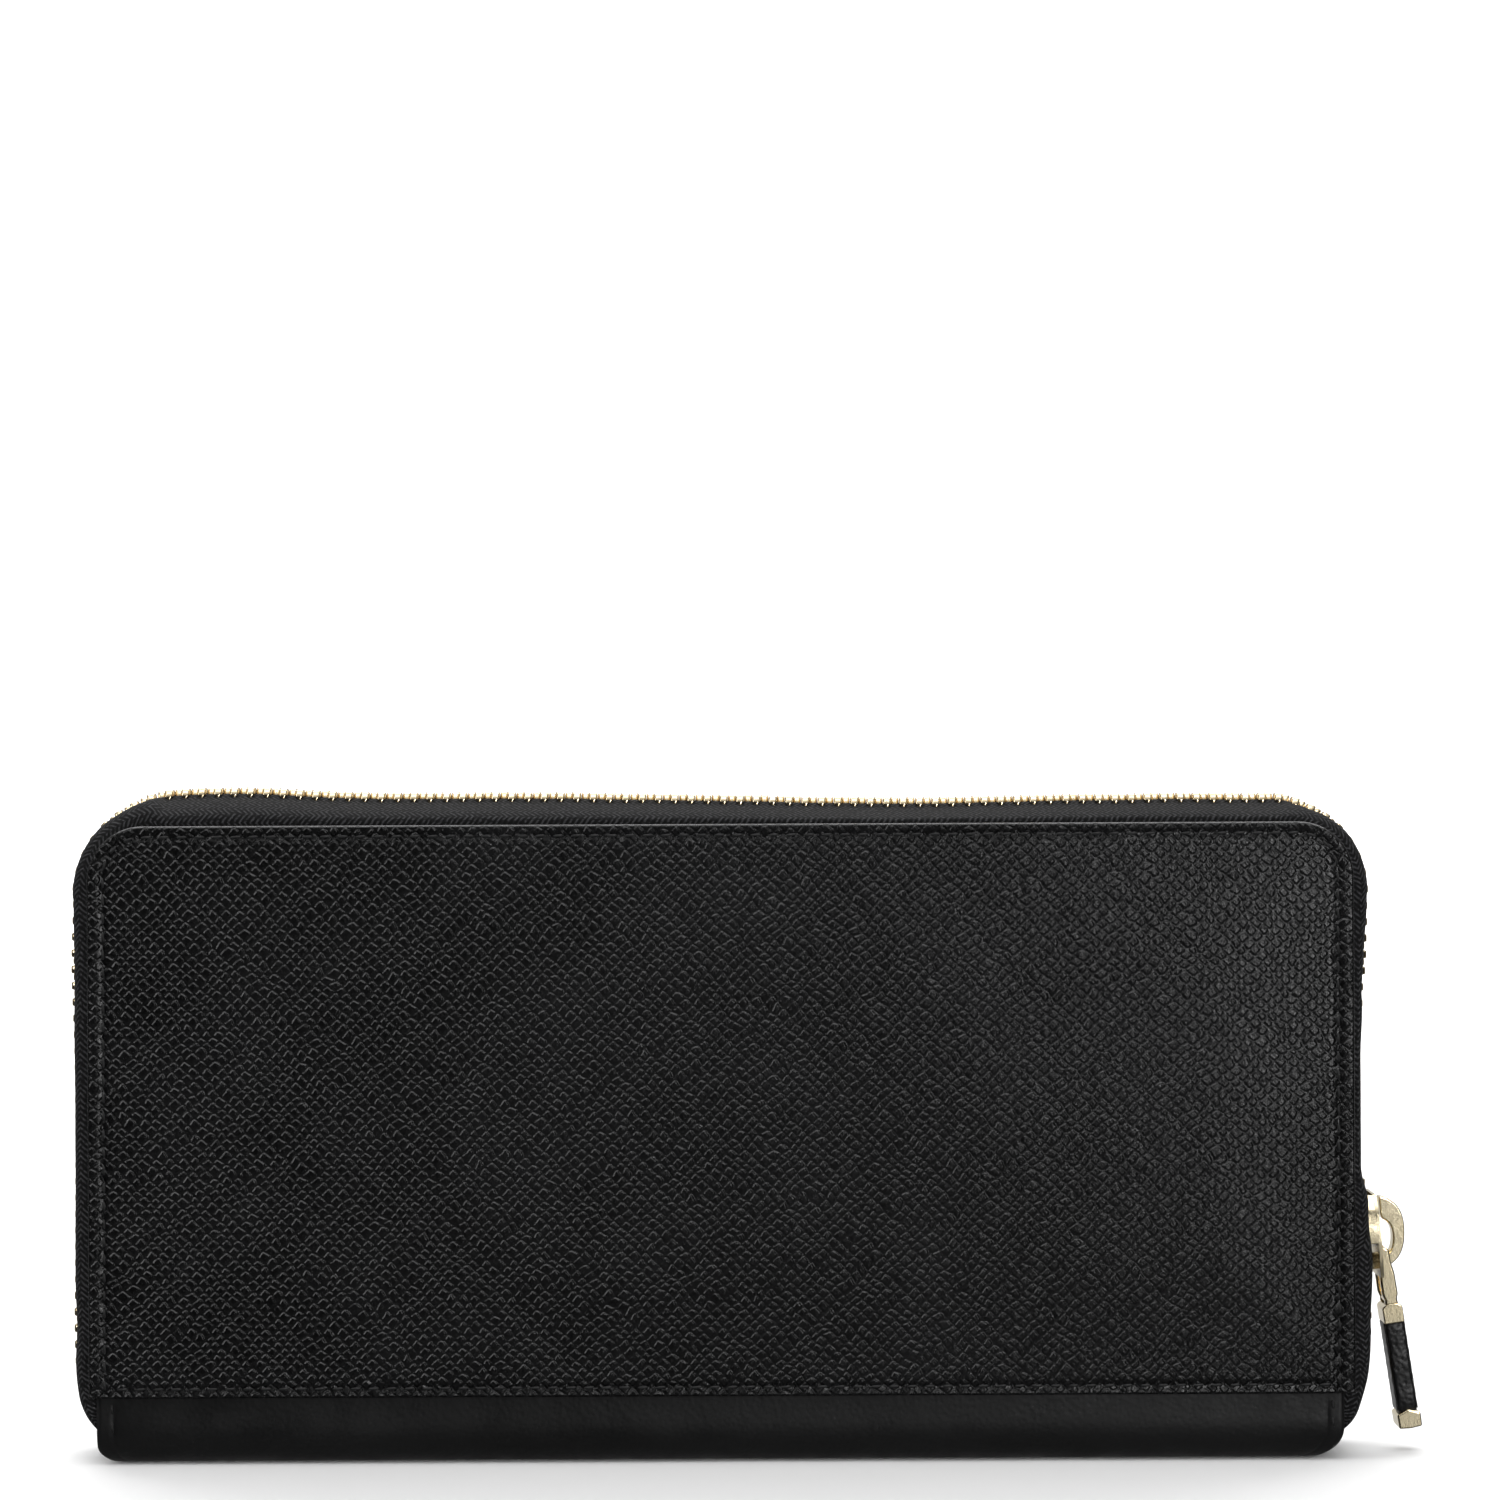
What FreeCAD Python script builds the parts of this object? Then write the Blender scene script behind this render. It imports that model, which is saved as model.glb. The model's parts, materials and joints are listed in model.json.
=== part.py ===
"""Zip around wallet of embossed leather, closed and standing on its spine.

Two stiffened covers are joined by a soft leather spine. A metal zip runs round the other
three sides. Inside are card slots on both covers, a coin pocket with its own zip in the
middle, and gussets between the two. The origin is the middle of the flat face under the
spine: +X is the end where the main slider stops, -Y the back cover, +Z the zipped top.
Lengths are in millimetres. Depths are distances from the middle plane, y = 0.
"""
import FreeCAD, Part
import math
import os
import Sketcher

Vector = FreeCAD.Vector

SIZES = {
    # Path of the main zip chain, up one side, over the top and down the other
    "chain_side": 94.2,
    "chain_top": 95.4,
    "chain_corner": 13.0,
    "chain_bend_start": 16.0,
    "chain_end": 7.0,
    "chain_bend_radius": 40.0,
    # Teeth of the main zip; the mouth is the unzipped stretch under the slider
    "tooth_pitch": 2.4,
    "tooth_width": 1.0,
    "tooth_height": 2.2,
    "tooth_head": 0.9,
    "tooth_root": 3.0,
    "mouth_gap": 2.5,
    "mouth_start": 35.0,
    "mouth_full": 28.5,
    "stop_length": 1.8,
    # Tape of the main zip
    "tape_thickness": 0.6,
    "tape_clearance": 0.1,
    "tape_shoulder": 6.9,
    "tape_drop": 2.6,
    "tape_flange": 3.9,
    # Cover: leather tray, board, tape, lining and card slots, as depths
    "cover_face": 12.0,
    "cover_inner": 10.9,
    "tape_face": 9.8,
    "cover_side": 91.8,
    "cover_bottom": 10.0,
    "cover_top": 92.9,
    "cover_corner": 8.0,
    "cover_rim": 1.2,
    "board_bottom": 14.5,
    "lining_face": 9.2,
    "lining_thickness": 0.6,
    "lining_side": 90.5,
    "lining_top": 91.5,
    "lining_corner": 9.0,
    "slot_face": 8.5,
    "slot_thickness": 0.5,
    "slot_spacing": 0.6,
    "slot_side": 85.0,
    "slot_bottom": 12.0,
    "slot_top": 80.0,
    "slot_step": 12.0,
    # Spine
    "spine_side": 90.3,
    "spine_face": 10.8,
    "spine_thickness": 0.8,
    "spine_arm": 14.0,
    "spine_radius": 5.0,
    "spine_lining_side": 86.0,
    "spine_lining_face": 9.85,
    "spine_lining_thickness": 0.5,
    "spine_lining_bottom": 0.9,
    "spine_lining_arm": 13.0,
    # Coin pocket and its zip
    "pocket_side": 85.0,
    "pocket_face": 2.6,
    "pocket_wall": 0.5,
    "pocket_bottom": 3.0,
    "pocket_top": 70.5,
    "pocket_seam": 0.8,
    "pocket_corner": 4.0,
    "coin_tape_face": 2.05,
    "coin_tape_thickness": 0.5,
    "coin_tape_side": 82.0,
    "coin_tape_bottom": 64.0,
    "coin_tape_top": 72.3,
    "coin_tooth_pitch": 1.8,
    "coin_tooth_width": 0.75,
    "coin_tooth_height": 1.5,
    "coin_tooth_head": 0.5,
    "coin_tooth_root": 2.0,
    "coin_chain_start": 80.0,
    "coin_chain_stop": 71.5,
    # Gussets
    "gusset_side": 86.0,
    "gusset_fold": 71.4,
    "gusset_outer": 6.7,
    "gusset_inner": 2.7,
    "gusset_thickness": 0.55,
    "gusset_bottom": 4.0,
    "gusset_top": 66.0,
    # Main slider
    "slider_bottom": 25.9,
    "slider_shoulder": 31.0,
    "slider_top": 38.0,
    "slider_mouth_half": 6.3,
    "slider_shoulder_half": 6.7,
    "slider_top_half": 4.6,
    "slider_outer_face": 96.4,
    "slider_plate": 0.9,
    "slider_inner_face": 92.0,
    "slider_flange": 0.75,
    "divider_half": 0.8,
    "divider_bottom": 26.5,
    "divider_top": 29.0,
    # Hook on the slider, which carries the pull
    "hook_half": 1.4,
    "hook_outer_x": 93.15,
    "hook_outer_z": 31.55,
    "hook_outer_radius": 7.5,
    "hook_inner_x": 93.09,
    "hook_inner_z": 31.92,
    "hook_inner_radius": 5.8,
    "hook_foot": 26.8,
    "hook_hole": 28.4,
    "hook_tip": 36.2,
    "hook_top": 37.3,
    # Pull of the main slider, measured from its pivot
    "pivot_x": 97.3,
    "pivot_z": 29.2,
    "pull_lean": 8.6,
    "pin_radius": 0.6,
    "arm_inner": 1.7,
    "arm_outer": 2.9,
    "collar_top": 7.5,
    "collar_bottom": 10.4,
    "collar_half": 1.5,
    "grip_bottom": 23.3,
    "grip_half": 1.5,
    "grip_depth": 2.6,
    "core_half": 0.4,
    "core_depth": 1.6,
    "cap_bottom": 26.1,
    "cap_half": 1.75,
    "cap_peak": 0.6,
    # Coin slider and its pull
    "coin_slider_start": 68.0,
    "coin_slider_end": 77.0,
    "coin_slider_half": 3.0,
    "coin_slider_plate": 0.7,
    "coin_slider_top": 75.0,
    "coin_slider_flange": 0.6,
    "coin_slider_lip": 71.9,
    "coin_keel_half": 1.3,
    "coin_divider_half": 0.6,
    "coin_divider_start": 75.0,
    "coin_divider_end": 76.4,
    "bridge_start": 69.5,
    "bridge_end": 75.5,
    "bridge_half": 1.0,
    "bridge_top": 77.6,
    "bridge_thickness": 0.7,
    "coin_pivot_x": 72.2,
    "coin_pivot_z": 75.85,
    "coin_pin_radius": 0.55,
    "tab_arm_inner": 1.4,
    "tab_half": 2.5,
    "tab_window": 6.0,
    "tab_length": 16.0,
    "tab_corner": 1.5,
}

document = FreeCAD.newDocument("zip_around_wallet")
sheet = document.addObject("Spreadsheet::Sheet", "sizes")
sub_parts = []


def fill_sheet():
    """One row of the sheet for each driving dimension."""
    for row, (name, value) in enumerate(SIZES.items(), start=1):
        sheet.set(f"A{row}", name)
        sheet.set(f"B{row}", str(value))
        sheet.setAlias(f"B{row}", name)
    document.recompute()


def size(name):
    """A dimension as the sheet holds it."""
    return float(getattr(sheet, name))


def new_body(label):
    body = document.addObject("PartDesign::Body", label)
    body.Label = label
    sub_parts.append(body)
    return body


def new_feature(label, shape):
    feature = document.addObject("Part::Feature", label)
    feature.Label = label
    feature.Shape = shape
    feature.Placement = FreeCAD.Placement()
    sub_parts.append(feature)
    return feature


def origin_plane(body, role):
    return [feature for feature in body.Origin.OriginFeatures if feature.Role == role][0]


def new_sketch(body, name, role, start):
    """A sketch on one of the body's origin planes, moved along +X, +Y or +Z to start."""
    sketch = body.newObject("Sketcher::SketchObject", name)
    sketch.AttachmentSupport = [(origin_plane(body, role), "")]
    sketch.MapMode = "FlatFace"
    sign = "-" if role == "XZ_Plane" else ""
    sketch.setExpression("AttachmentOffset.Base.z", f"{sign}({start})")
    return sketch


def bind_point(sketch, curve, end, across, up):
    """Hold one end of a curve at the place that two expressions give."""
    for kind, expression in (("DistanceX", across), ("DistanceY", up)):
        held = Sketcher.Constraint(kind, -1, 1, curve, end, evaluate(expression))
        index = sketch.addConstraint(held)
        sketch.setExpression(f"Constraints[{index}]", expression)


def evaluate(expression):
    """The value of an expression made of the sheet's names."""
    probe.setExpression("Length", f"1000 + ({expression})")
    probe.recompute()
    return probe.Length.Value - 1000


def draw_polygon(sketch, points):
    """A closed polygon whose corners are pairs of expressions."""
    corners = [Vector(evaluate(across), evaluate(up), 0) for across, up in points]
    for index, corner in enumerate(corners):
        following = corners[(index + 1) % len(corners)]
        sketch.addGeometry(Part.LineSegment(corner, following), False)
    for index, (across, up) in enumerate(points):
        following = (index + 1) % len(points)
        sketch.addConstraint(Sketcher.Constraint("Coincident", index, 2, following, 1))
        bind_point(sketch, index, 1, across, up)


def add_pad(body, name, sketch, length, cut=False):
    """Pad or pocket the sketch towards +X, +Y or +Z."""
    kind = "PartDesign::Pocket" if cut else "PartDesign::Pad"
    before = body.Shape.Volume if cut else 0.0
    pad = body.newObject(kind, name)
    pad.Profile = sketch
    pad.setExpression("Length", length)
    on_xz = origin_plane(body, "XZ_Plane") in sketch.AttachmentSupport[0]
    pad.Reversed = on_xz != cut
    document.recompute()
    if cut and body.Shape.Volume >= before:
        raise RuntimeError(f"{body.Label}: {name} cuts nothing")
    return pad


def add_prism(body, name, role, points, start, length, cut=False):
    sketch = new_sketch(body, f"{name}_outline", role, start)
    draw_polygon(sketch, points)
    return add_pad(body, name, sketch, length, cut)


def rectangle(low_across, low_up, high_across, high_up):
    """Corners of a rectangle, each a pair of expressions."""
    return [
        (low_across, low_up),
        (high_across, low_up),
        (high_across, high_up),
        (low_across, high_up),
    ]


def round_edges(body, name, radius, chosen):
    """Fillet the straight edges whose middle and direction satisfy chosen."""
    base = body.Tip
    edges = []
    for number, edge in enumerate(base.Shape.Edges, start=1):
        middle = edge.valueAt((edge.FirstParameter + edge.LastParameter) / 2)
        direction = edge.tangentAt(edge.FirstParameter)
        if isinstance(edge.Curve, Part.Line) and chosen(middle, direction):
            edges.append(f"Edge{number}")
    if not edges:
        raise RuntimeError(f"{body.Label}: {name} finds no edge")
    fillet = body.newObject("PartDesign::Fillet", name)
    fillet.Base = (base, edges)
    fillet.setExpression("Radius", radius)
    document.recompute()
    return fillet


def depth_range(side, near, far):
    """Start and length along Y of a layer between two depths of one half."""
    start = near if side > 0 else f"-({far})"
    return start, f"({far}) - ({near})"


# Covers and what is sewn to them

def add_sheet(body, name, side, near, far, half, bottom, top):
    """A rectangular layer of one half, between two depths."""
    start, length = depth_range(side, near, far)
    outline = rectangle(f"-({half})", bottom, half, top)
    add_prism(body, name, "XZ_Plane", outline, start, length)


def round_top_corners(body, name, radius, top):
    """Round the corners whose edges run through the layer at the given height."""
    height = evaluate(top)
    round_edges(body, name, radius,
                lambda middle, direction: abs(direction.y) > 0.9 and abs(middle.z - height) < 0.01)


def make_panel(label, side, near, far, half, bottom, top, corner):
    """A flat layer of one half with its two top corners rounded."""
    body = new_body(label)
    add_sheet(body, f"{label}_sheet", side, near, far, half, bottom, top)
    round_top_corners(body, f"{label}_corners", corner, top)


def make_cover(half_name, side):
    """Leather tray turned over the edge of its board on the three zipped sides."""
    leather = new_body(f"{half_name}_cover_leather")
    add_sheet(leather, f"{half_name}_face", side, "sizes.tape_face", "sizes.cover_face",
              "sizes.cover_side", "sizes.cover_bottom", "sizes.cover_top")
    start, length = depth_range(side, "sizes.tape_face", "sizes.cover_inner")
    board_side = "sizes.cover_side - sizes.cover_rim"
    board_top = "sizes.cover_top - sizes.cover_rim"
    outline = rectangle(f"-({board_side})", "sizes.cover_bottom - 1", board_side, board_top)
    add_prism(leather, f"{half_name}_recess", "XZ_Plane", outline, start, length, cut=True)
    round_top_corners(leather, f"{half_name}_recess_corners",
                      "sizes.cover_corner - sizes.cover_rim", board_top)
    round_top_corners(leather, f"{half_name}_corners", "sizes.cover_corner", "sizes.cover_top")
    make_panel(f"{half_name}_cover_board", side, "sizes.tape_face", "sizes.cover_inner",
               board_side, "sizes.board_bottom", board_top, "sizes.cover_corner - sizes.cover_rim")
    make_panel(f"{half_name}_lining", side, "sizes.lining_face - sizes.lining_thickness",
               "sizes.lining_face", "sizes.lining_side", "sizes.cover_bottom",
               "sizes.lining_top", "sizes.lining_corner")


def make_card_slots(half_name, side):
    """Three sheets, each lower and nearer the middle than the one behind it."""
    for number in range(3):
        face = f"sizes.slot_face - {number} * sizes.slot_spacing"
        top = f"sizes.slot_top - {number} * sizes.slot_step"
        make_panel(f"{half_name}_card_slot_{number + 1}", side, f"{face} - sizes.slot_thickness",
                   face, "sizes.slot_side", "sizes.slot_bottom", top, "sizes.cover_rim")


# Main zip

def chain_path():
    """Edges of the chain's centre line from the left end over the top to the right end."""
    side, top, corner = size("chain_side"), size("chain_top"), size("chain_corner")
    bend, bend_radius = size("chain_bend_start"), size("chain_bend_radius")
    angle = math.asin((bend - size("chain_end")) / bend_radius)

    def bend_point(turn, hand):
        across = side - bend_radius * (1 - math.cos(turn))
        return Vector(hand * across, 0, bend - bend_radius * math.sin(turn))

    def corner_arc(hand):
        centre = Vector(hand * (side - corner), 0, top - corner)
        reach = corner * math.sqrt(0.5)
        ends = [Vector(hand * side, 0, centre.z), centre + Vector(hand * reach, 0, reach),
                Vector(centre.x, 0, top)]
        return ends if hand < 0 else ends[::-1]

    left, right = corner_arc(-1), corner_arc(1)
    return [
        Part.Arc(bend_point(angle, -1), bend_point(angle / 2, -1), bend_point(0, -1)).toShape(),
        Part.LineSegment(bend_point(0, -1), left[0]).toShape(),
        Part.Arc(*left).toShape(),
        Part.LineSegment(left[2], right[0]).toShape(),
        Part.Arc(*right).toShape(),
        Part.LineSegment(right[2], bend_point(0, 1)).toShape(),
        Part.Arc(bend_point(0, 1), bend_point(angle / 2, 1), bend_point(angle, 1)).toShape(),
    ]


def chain_stations(pitch, first):
    """Points along the chain, one pitch apart, each with the outward direction there."""
    stations = []
    distance = first
    for edge in chain_path():
        while distance <= edge.Length:
            parameter = edge.getParameterByLength(distance)
            along = edge.tangentAt(parameter)
            stations.append((edge.valueAt(parameter), Vector(-along.z, 0, along.x)))
            distance += pitch
        distance -= edge.Length
    return stations


def mouth_shift(point):
    """How far each row stands off the middle at a point of the chain."""
    start, full = size("mouth_start"), size("mouth_full")
    if point.x < 0 or point.z > start:
        return 0.0
    share = min(1.0, (start - point.z) / (start - full))
    return size("mouth_gap") * (1 - math.cos(math.pi * share)) / 2


def block(point, outward, side, width, height, near, far):
    """A block across the chain: width along it, height outward, between two depths."""
    solid = Part.makeBox(width, far - near, height, Vector(-width / 2, near, -height / 2))
    turn = math.degrees(math.atan2(outward.x, outward.z))
    solid.rotate(Vector(0, 0, 0), Vector(0, 1, 0), turn)
    if side < 0:
        solid = solid.mirror(Vector(0, 0, 0), Vector(0, 1, 0))
    solid.translate(point)
    return solid


def make_teeth(half_name, side):
    """One row; the two rows stand half a pitch apart so that they mesh."""
    pitch = size("tooth_pitch")
    first = pitch if side < 0 else 1.5 * pitch
    teeth = []
    for point, outward in chain_stations(pitch, first):
        shift = mouth_shift(point)
        if point.x < 0 or point.z > size("chain_end") + pitch:
            teeth.append(block(point, outward, side, size("tooth_width"), size("tooth_height"),
                               shift - size("tooth_head"), shift + size("tooth_root")))
    new_feature(f"{half_name}_zip_teeth", Part.makeCompound(teeth))


def make_end_stops(half_name, side):
    """A clamp at each end of the row."""
    path = chain_path()
    length = size("stop_length")
    stops = []
    for edge, distance in ((path[0], length / 2), (path[-1], path[-1].Length - length / 2)):
        parameter = edge.getParameterByLength(distance)
        along = edge.tangentAt(parameter)
        point = edge.valueAt(parameter)
        shift = mouth_shift(point)
        stops.append(block(point, Vector(-along.z, 0, along.x), side, length * 0.7,
                           size("tooth_height"), shift + 0.2, shift + size("tooth_root")))
    new_feature(f"{half_name}_zip_end_stops", Part.makeCompound(stops))


def tape_section(side, inner_edge):
    """Flat by the teeth, then rounded over the shoulder and down inside the cover."""
    half = size("tape_thickness") / 2
    shoulder, drop = size("tape_shoulder"), size("tape_drop")
    flange = drop + size("tape_flange")
    outer, inner = size("tape_face") - shoulder, size("tape_face") - 2 * half - shoulder

    def corner(depth, height):
        return Vector(0, side * depth, height)

    def shoulder_arc(radius):
        reach = radius * math.sqrt(0.5)
        return Part.Arc(corner(shoulder, radius - drop), corner(shoulder + reach, reach - drop),
                        corner(shoulder + radius, -drop)).toShape()

    def line(first, second):
        return Part.LineSegment(first, second).toShape()

    return Part.Wire([
        line(corner(inner_edge, half), corner(shoulder, half)),
        shoulder_arc(outer),
        line(corner(shoulder + outer, -drop), corner(shoulder + outer, -flange)),
        line(corner(shoulder + outer, -flange), corner(shoulder + inner, -flange)),
        line(corner(shoulder + inner, -flange), corner(shoulder + inner, -drop)),
        shoulder_arc(inner),
        line(corner(shoulder, -half), corner(inner_edge, -half)),
        line(corner(inner_edge, -half), corner(inner_edge, half)),
    ])


def sweep_tape(edges, side, inner_edge):
    """The tape's section carried along the given stretch of the chain."""
    first = edges[0]
    along = first.tangentAt(first.FirstParameter)
    section = tape_section(side, inner_edge)
    turn = math.degrees(math.atan2(-along.z, along.x))
    section.rotate(Vector(0, 0, 0), Vector(0, 1, 0), turn)
    section.translate(first.valueAt(first.FirstParameter))
    return Part.Wire(edges).makePipeShell([section], True, False)


def make_tape(half_name, side):
    """The tape's edge lies by the teeth, and further out along the open mouth."""
    path = chain_path()
    side_line = path[5]
    split = Vector(size("chain_side"), 0, size("mouth_start"))
    upper_side = Part.LineSegment(side_line.valueAt(side_line.FirstParameter), split).toShape()
    lower_side = Part.LineSegment(split, side_line.valueAt(side_line.LastParameter)).toShape()
    edge = size("tooth_root") + size("tape_clearance")
    zipped = sweep_tape(path[:5] + [upper_side], side, edge)
    open_mouth = sweep_tape([lower_side, path[6]], side, edge + size("mouth_gap"))
    new_feature(f"{half_name}_zip_tape", zipped.fuse(open_mouth).removeSplitter())


# Spine

def make_channel(label, half, face, thickness, bottom, arm, radius):
    """A sheet bent into a U along X, open at the top."""
    body = new_body(label)
    outline = [
        (f"-({face})", bottom),
        (face, bottom),
        (face, arm),
        (f"({face}) - ({thickness})", arm),
        (f"({face}) - ({thickness})", f"({bottom}) + ({thickness})"),
        (f"-({face}) + ({thickness})", f"({bottom}) + ({thickness})"),
        (f"-({face}) + ({thickness})", arm),
        (f"-({face})", arm),
    ]
    add_prism(body, f"{label}_sheet", "YZ_Plane", outline, f"-({half})", f"2 * ({half})")
    low, inner_low = evaluate(bottom), evaluate(f"({bottom}) + ({thickness})")
    round_edges(body, f"{label}_outer_bends", radius,
                lambda middle, direction: abs(direction.x) > 0.9 and abs(middle.z - low) < 0.01)
    round_edges(body, f"{label}_inner_bends", f"({radius}) - ({thickness})",
                lambda middle, direction: abs(direction.x) > 0.9 and abs(middle.z - inner_low) < 0.01)


def make_spine():
    make_channel("spine_leather", "sizes.spine_side", "sizes.spine_face", "sizes.spine_thickness",
                 "0", "sizes.spine_arm", "sizes.spine_radius")
    make_channel("spine_lining", "sizes.spine_lining_side", "sizes.spine_lining_face",
                 "sizes.spine_lining_thickness", "sizes.spine_lining_bottom",
                 "sizes.spine_lining_arm", "sizes.spine_radius - sizes.spine_lining_bottom")


# Coin pocket

def make_coin_pocket():
    for half_name, side in (("back", -1), ("front", 1)):
        make_panel(f"coin_pocket_{half_name}_wall", side, "sizes.pocket_face - sizes.pocket_wall",
                   "sizes.pocket_face", "sizes.pocket_side", "sizes.pocket_bottom",
                   "sizes.pocket_top", "sizes.pocket_corner")
    inside = "(sizes.pocket_face - sizes.pocket_wall)"
    base = new_body("coin_pocket_base")
    outline = rectangle("-sizes.pocket_side", "sizes.pocket_bottom", "sizes.pocket_side",
                        "sizes.pocket_bottom + sizes.pocket_seam")
    add_prism(base, "base_strip", "XZ_Plane", outline, f"-{inside}", f"2 * {inside}")
    for name, sign in (("left", "-"), ("right", "")):
        strip = new_body(f"coin_pocket_{name}_seam")
        inner = f"{sign}(sizes.pocket_side - sizes.pocket_seam)"
        outer = f"{sign}sizes.pocket_side"
        low, high = (outer, inner) if sign else (inner, outer)
        outline = rectangle(low, "sizes.pocket_bottom + sizes.pocket_seam", high,
                            "sizes.pocket_top - sizes.pocket_corner")
        add_prism(strip, f"{name}_strip", "XZ_Plane", outline, f"-{inside}", f"2 * {inside}")


def coin_tooth(across, side, width, near):
    top = size("coin_tape_top")
    solid = Part.makeBox(width, size("coin_tooth_root") - near, size("coin_tooth_height"),
                         Vector(across - width / 2, near, top))
    if side < 0:
        solid = solid.mirror(Vector(0, 0, 0), Vector(0, 1, 0))
    return solid


def make_coin_zip():
    """Two straight rows of teeth on upright tapes, and the stops beyond them."""
    pitch, width = size("coin_tooth_pitch"), size("coin_tooth_width")
    start, stop = -size("coin_chain_start"), size("coin_chain_stop")
    stops = []
    for half_name, side in (("back", -1), ("front", 1)):
        tape = new_body(f"coin_zip_{half_name}_tape")
        near, length = depth_range(side, "sizes.coin_tape_face - sizes.coin_tape_thickness",
                                   "sizes.coin_tape_face")
        outline = rectangle("-sizes.coin_tape_side", "sizes.coin_tape_bottom",
                            "sizes.coin_tape_side", "sizes.coin_tape_top")
        add_prism(tape, f"{half_name}_strip", "XZ_Plane", outline, near, length)
        across = start + (pitch / 2 if side > 0 else 0)
        teeth = []
        while across < stop:
            teeth.append(coin_tooth(across, side, width, -size("coin_tooth_head")))
            across += pitch
        new_feature(f"coin_zip_{half_name}_teeth", Part.makeCompound(teeth))
        stops.append(coin_tooth(stop + pitch, side, 2 * width, 2 * size("coin_tooth_head")))
        stops.append(coin_tooth(start - pitch, side, 2 * width, 0.05))
    new_feature("coin_zip_end_stops", Part.makeCompound(stops))


# Gussets

def make_gussets():
    """V folds between the coin pocket and each cover, folding inwards from both ends."""
    middle = "(sizes.gusset_outer + sizes.gusset_inner) / 2"
    for half_name, depth_sign in (("back", "-"), ("front", "")):
        for end_name, sign in (("left", "-"), ("right", "")):
            label = f"gusset_{half_name}_{end_name}"
            ridge = "(sizes.gusset_fold + 3 * sizes.gusset_thickness)"
            points = [
                ("sizes.gusset_side", "sizes.gusset_outer"),
                ("sizes.gusset_fold", middle),
                ("sizes.gusset_side", "sizes.gusset_inner"),
                ("sizes.gusset_side", "sizes.gusset_inner + sizes.gusset_thickness"),
                (ridge, middle),
                ("sizes.gusset_side", "sizes.gusset_outer - sizes.gusset_thickness"),
            ]
            outline = [(f"{sign}({across})", f"{depth_sign}({depth})") for across, depth in points]
            body = new_body(label)
            add_prism(body, f"{label}_fold", "XY_Plane", outline, "sizes.gusset_bottom",
                      "sizes.gusset_top - sizes.gusset_bottom")


# Main slider and its pull

def make_slider_body():
    """Two plates on a divider, with turned flanges that leave a slot for the tapes."""
    body = new_body("slider_body")

    def level(name, inset):
        """Height and half width of the plate where its outline changes."""
        heights = {"mouth": "sizes.slider_bottom", "shoulder": "sizes.slider_shoulder",
                   "top": "sizes.slider_top"}
        return f"sizes.slider_{name}_half - ({inset})", heights[name]

    def plate(name, start, length):
        right = [level(place, "0") for place in ("mouth", "shoulder", "top")]
        left = [(f"-({across})", up) for across, up in reversed(right)]
        add_prism(body, name, "YZ_Plane", right + left, start, length)

    def flanges(name, start, length):
        for hand, sign in (("back", "-"), ("front", "")):
            outer = [level(place, "0") for place in ("mouth", "shoulder", "top")]
            inner = [level(place, "sizes.slider_flange") for place in ("top", "shoulder", "mouth")]
            outline = [(f"{sign}({across})", up) for across, up in outer + inner]
            add_prism(body, f"{name}_{hand}", "YZ_Plane", outline, start, length)

    reach = "sizes.slider_flange"
    outer_start = "(sizes.slider_outer_face - sizes.slider_plate)"
    inner_end = "(sizes.slider_inner_face + sizes.slider_plate)"
    plate("outer_plate", outer_start, "sizes.slider_plate")
    flanges("outer_flange", f"{outer_start} - {reach}", reach)
    post = rectangle("-sizes.divider_half", "sizes.divider_bottom", "sizes.divider_half",
                     "sizes.divider_top")
    add_prism(body, "divider", "YZ_Plane", post, inner_end, f"{outer_start} - {inner_end}")
    plate("inner_plate", "sizes.slider_inner_face", "sizes.slider_plate")
    flanges("inner_flange", inner_end, reach)


def arc_between(centre, radius, first_height, last_height):
    """The +X side arc of a circle in a sketch, between two heights."""
    first = math.asin((first_height - centre.y) / radius)
    last = math.asin((last_height - centre.y) / radius)
    circle = Part.Circle(centre, Vector(0, 0, 1), radius)
    return Part.ArcOfCircle(circle, first, last)


def bind_arc(sketch, curve, name, low, high):
    """Tie an arc's centre, radius and end heights to the sheet."""
    bind_point(sketch, curve, 3, f"sizes.hook_{name}_x", f"sizes.hook_{name}_z")
    radius = sketch.addConstraint(Sketcher.Constraint("Radius", curve, size(f"hook_{name}_radius")))
    sketch.setExpression(f"Constraints[{radius}]", f"sizes.hook_{name}_radius")
    for end, height in ((1, low), (2, high)):
        held = sketch.addConstraint(Sketcher.Constraint("DistanceY", -1, 1, curve, end, size(height)))
        sketch.setExpression(f"Constraints[{held}]", f"sizes.{height}")


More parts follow.
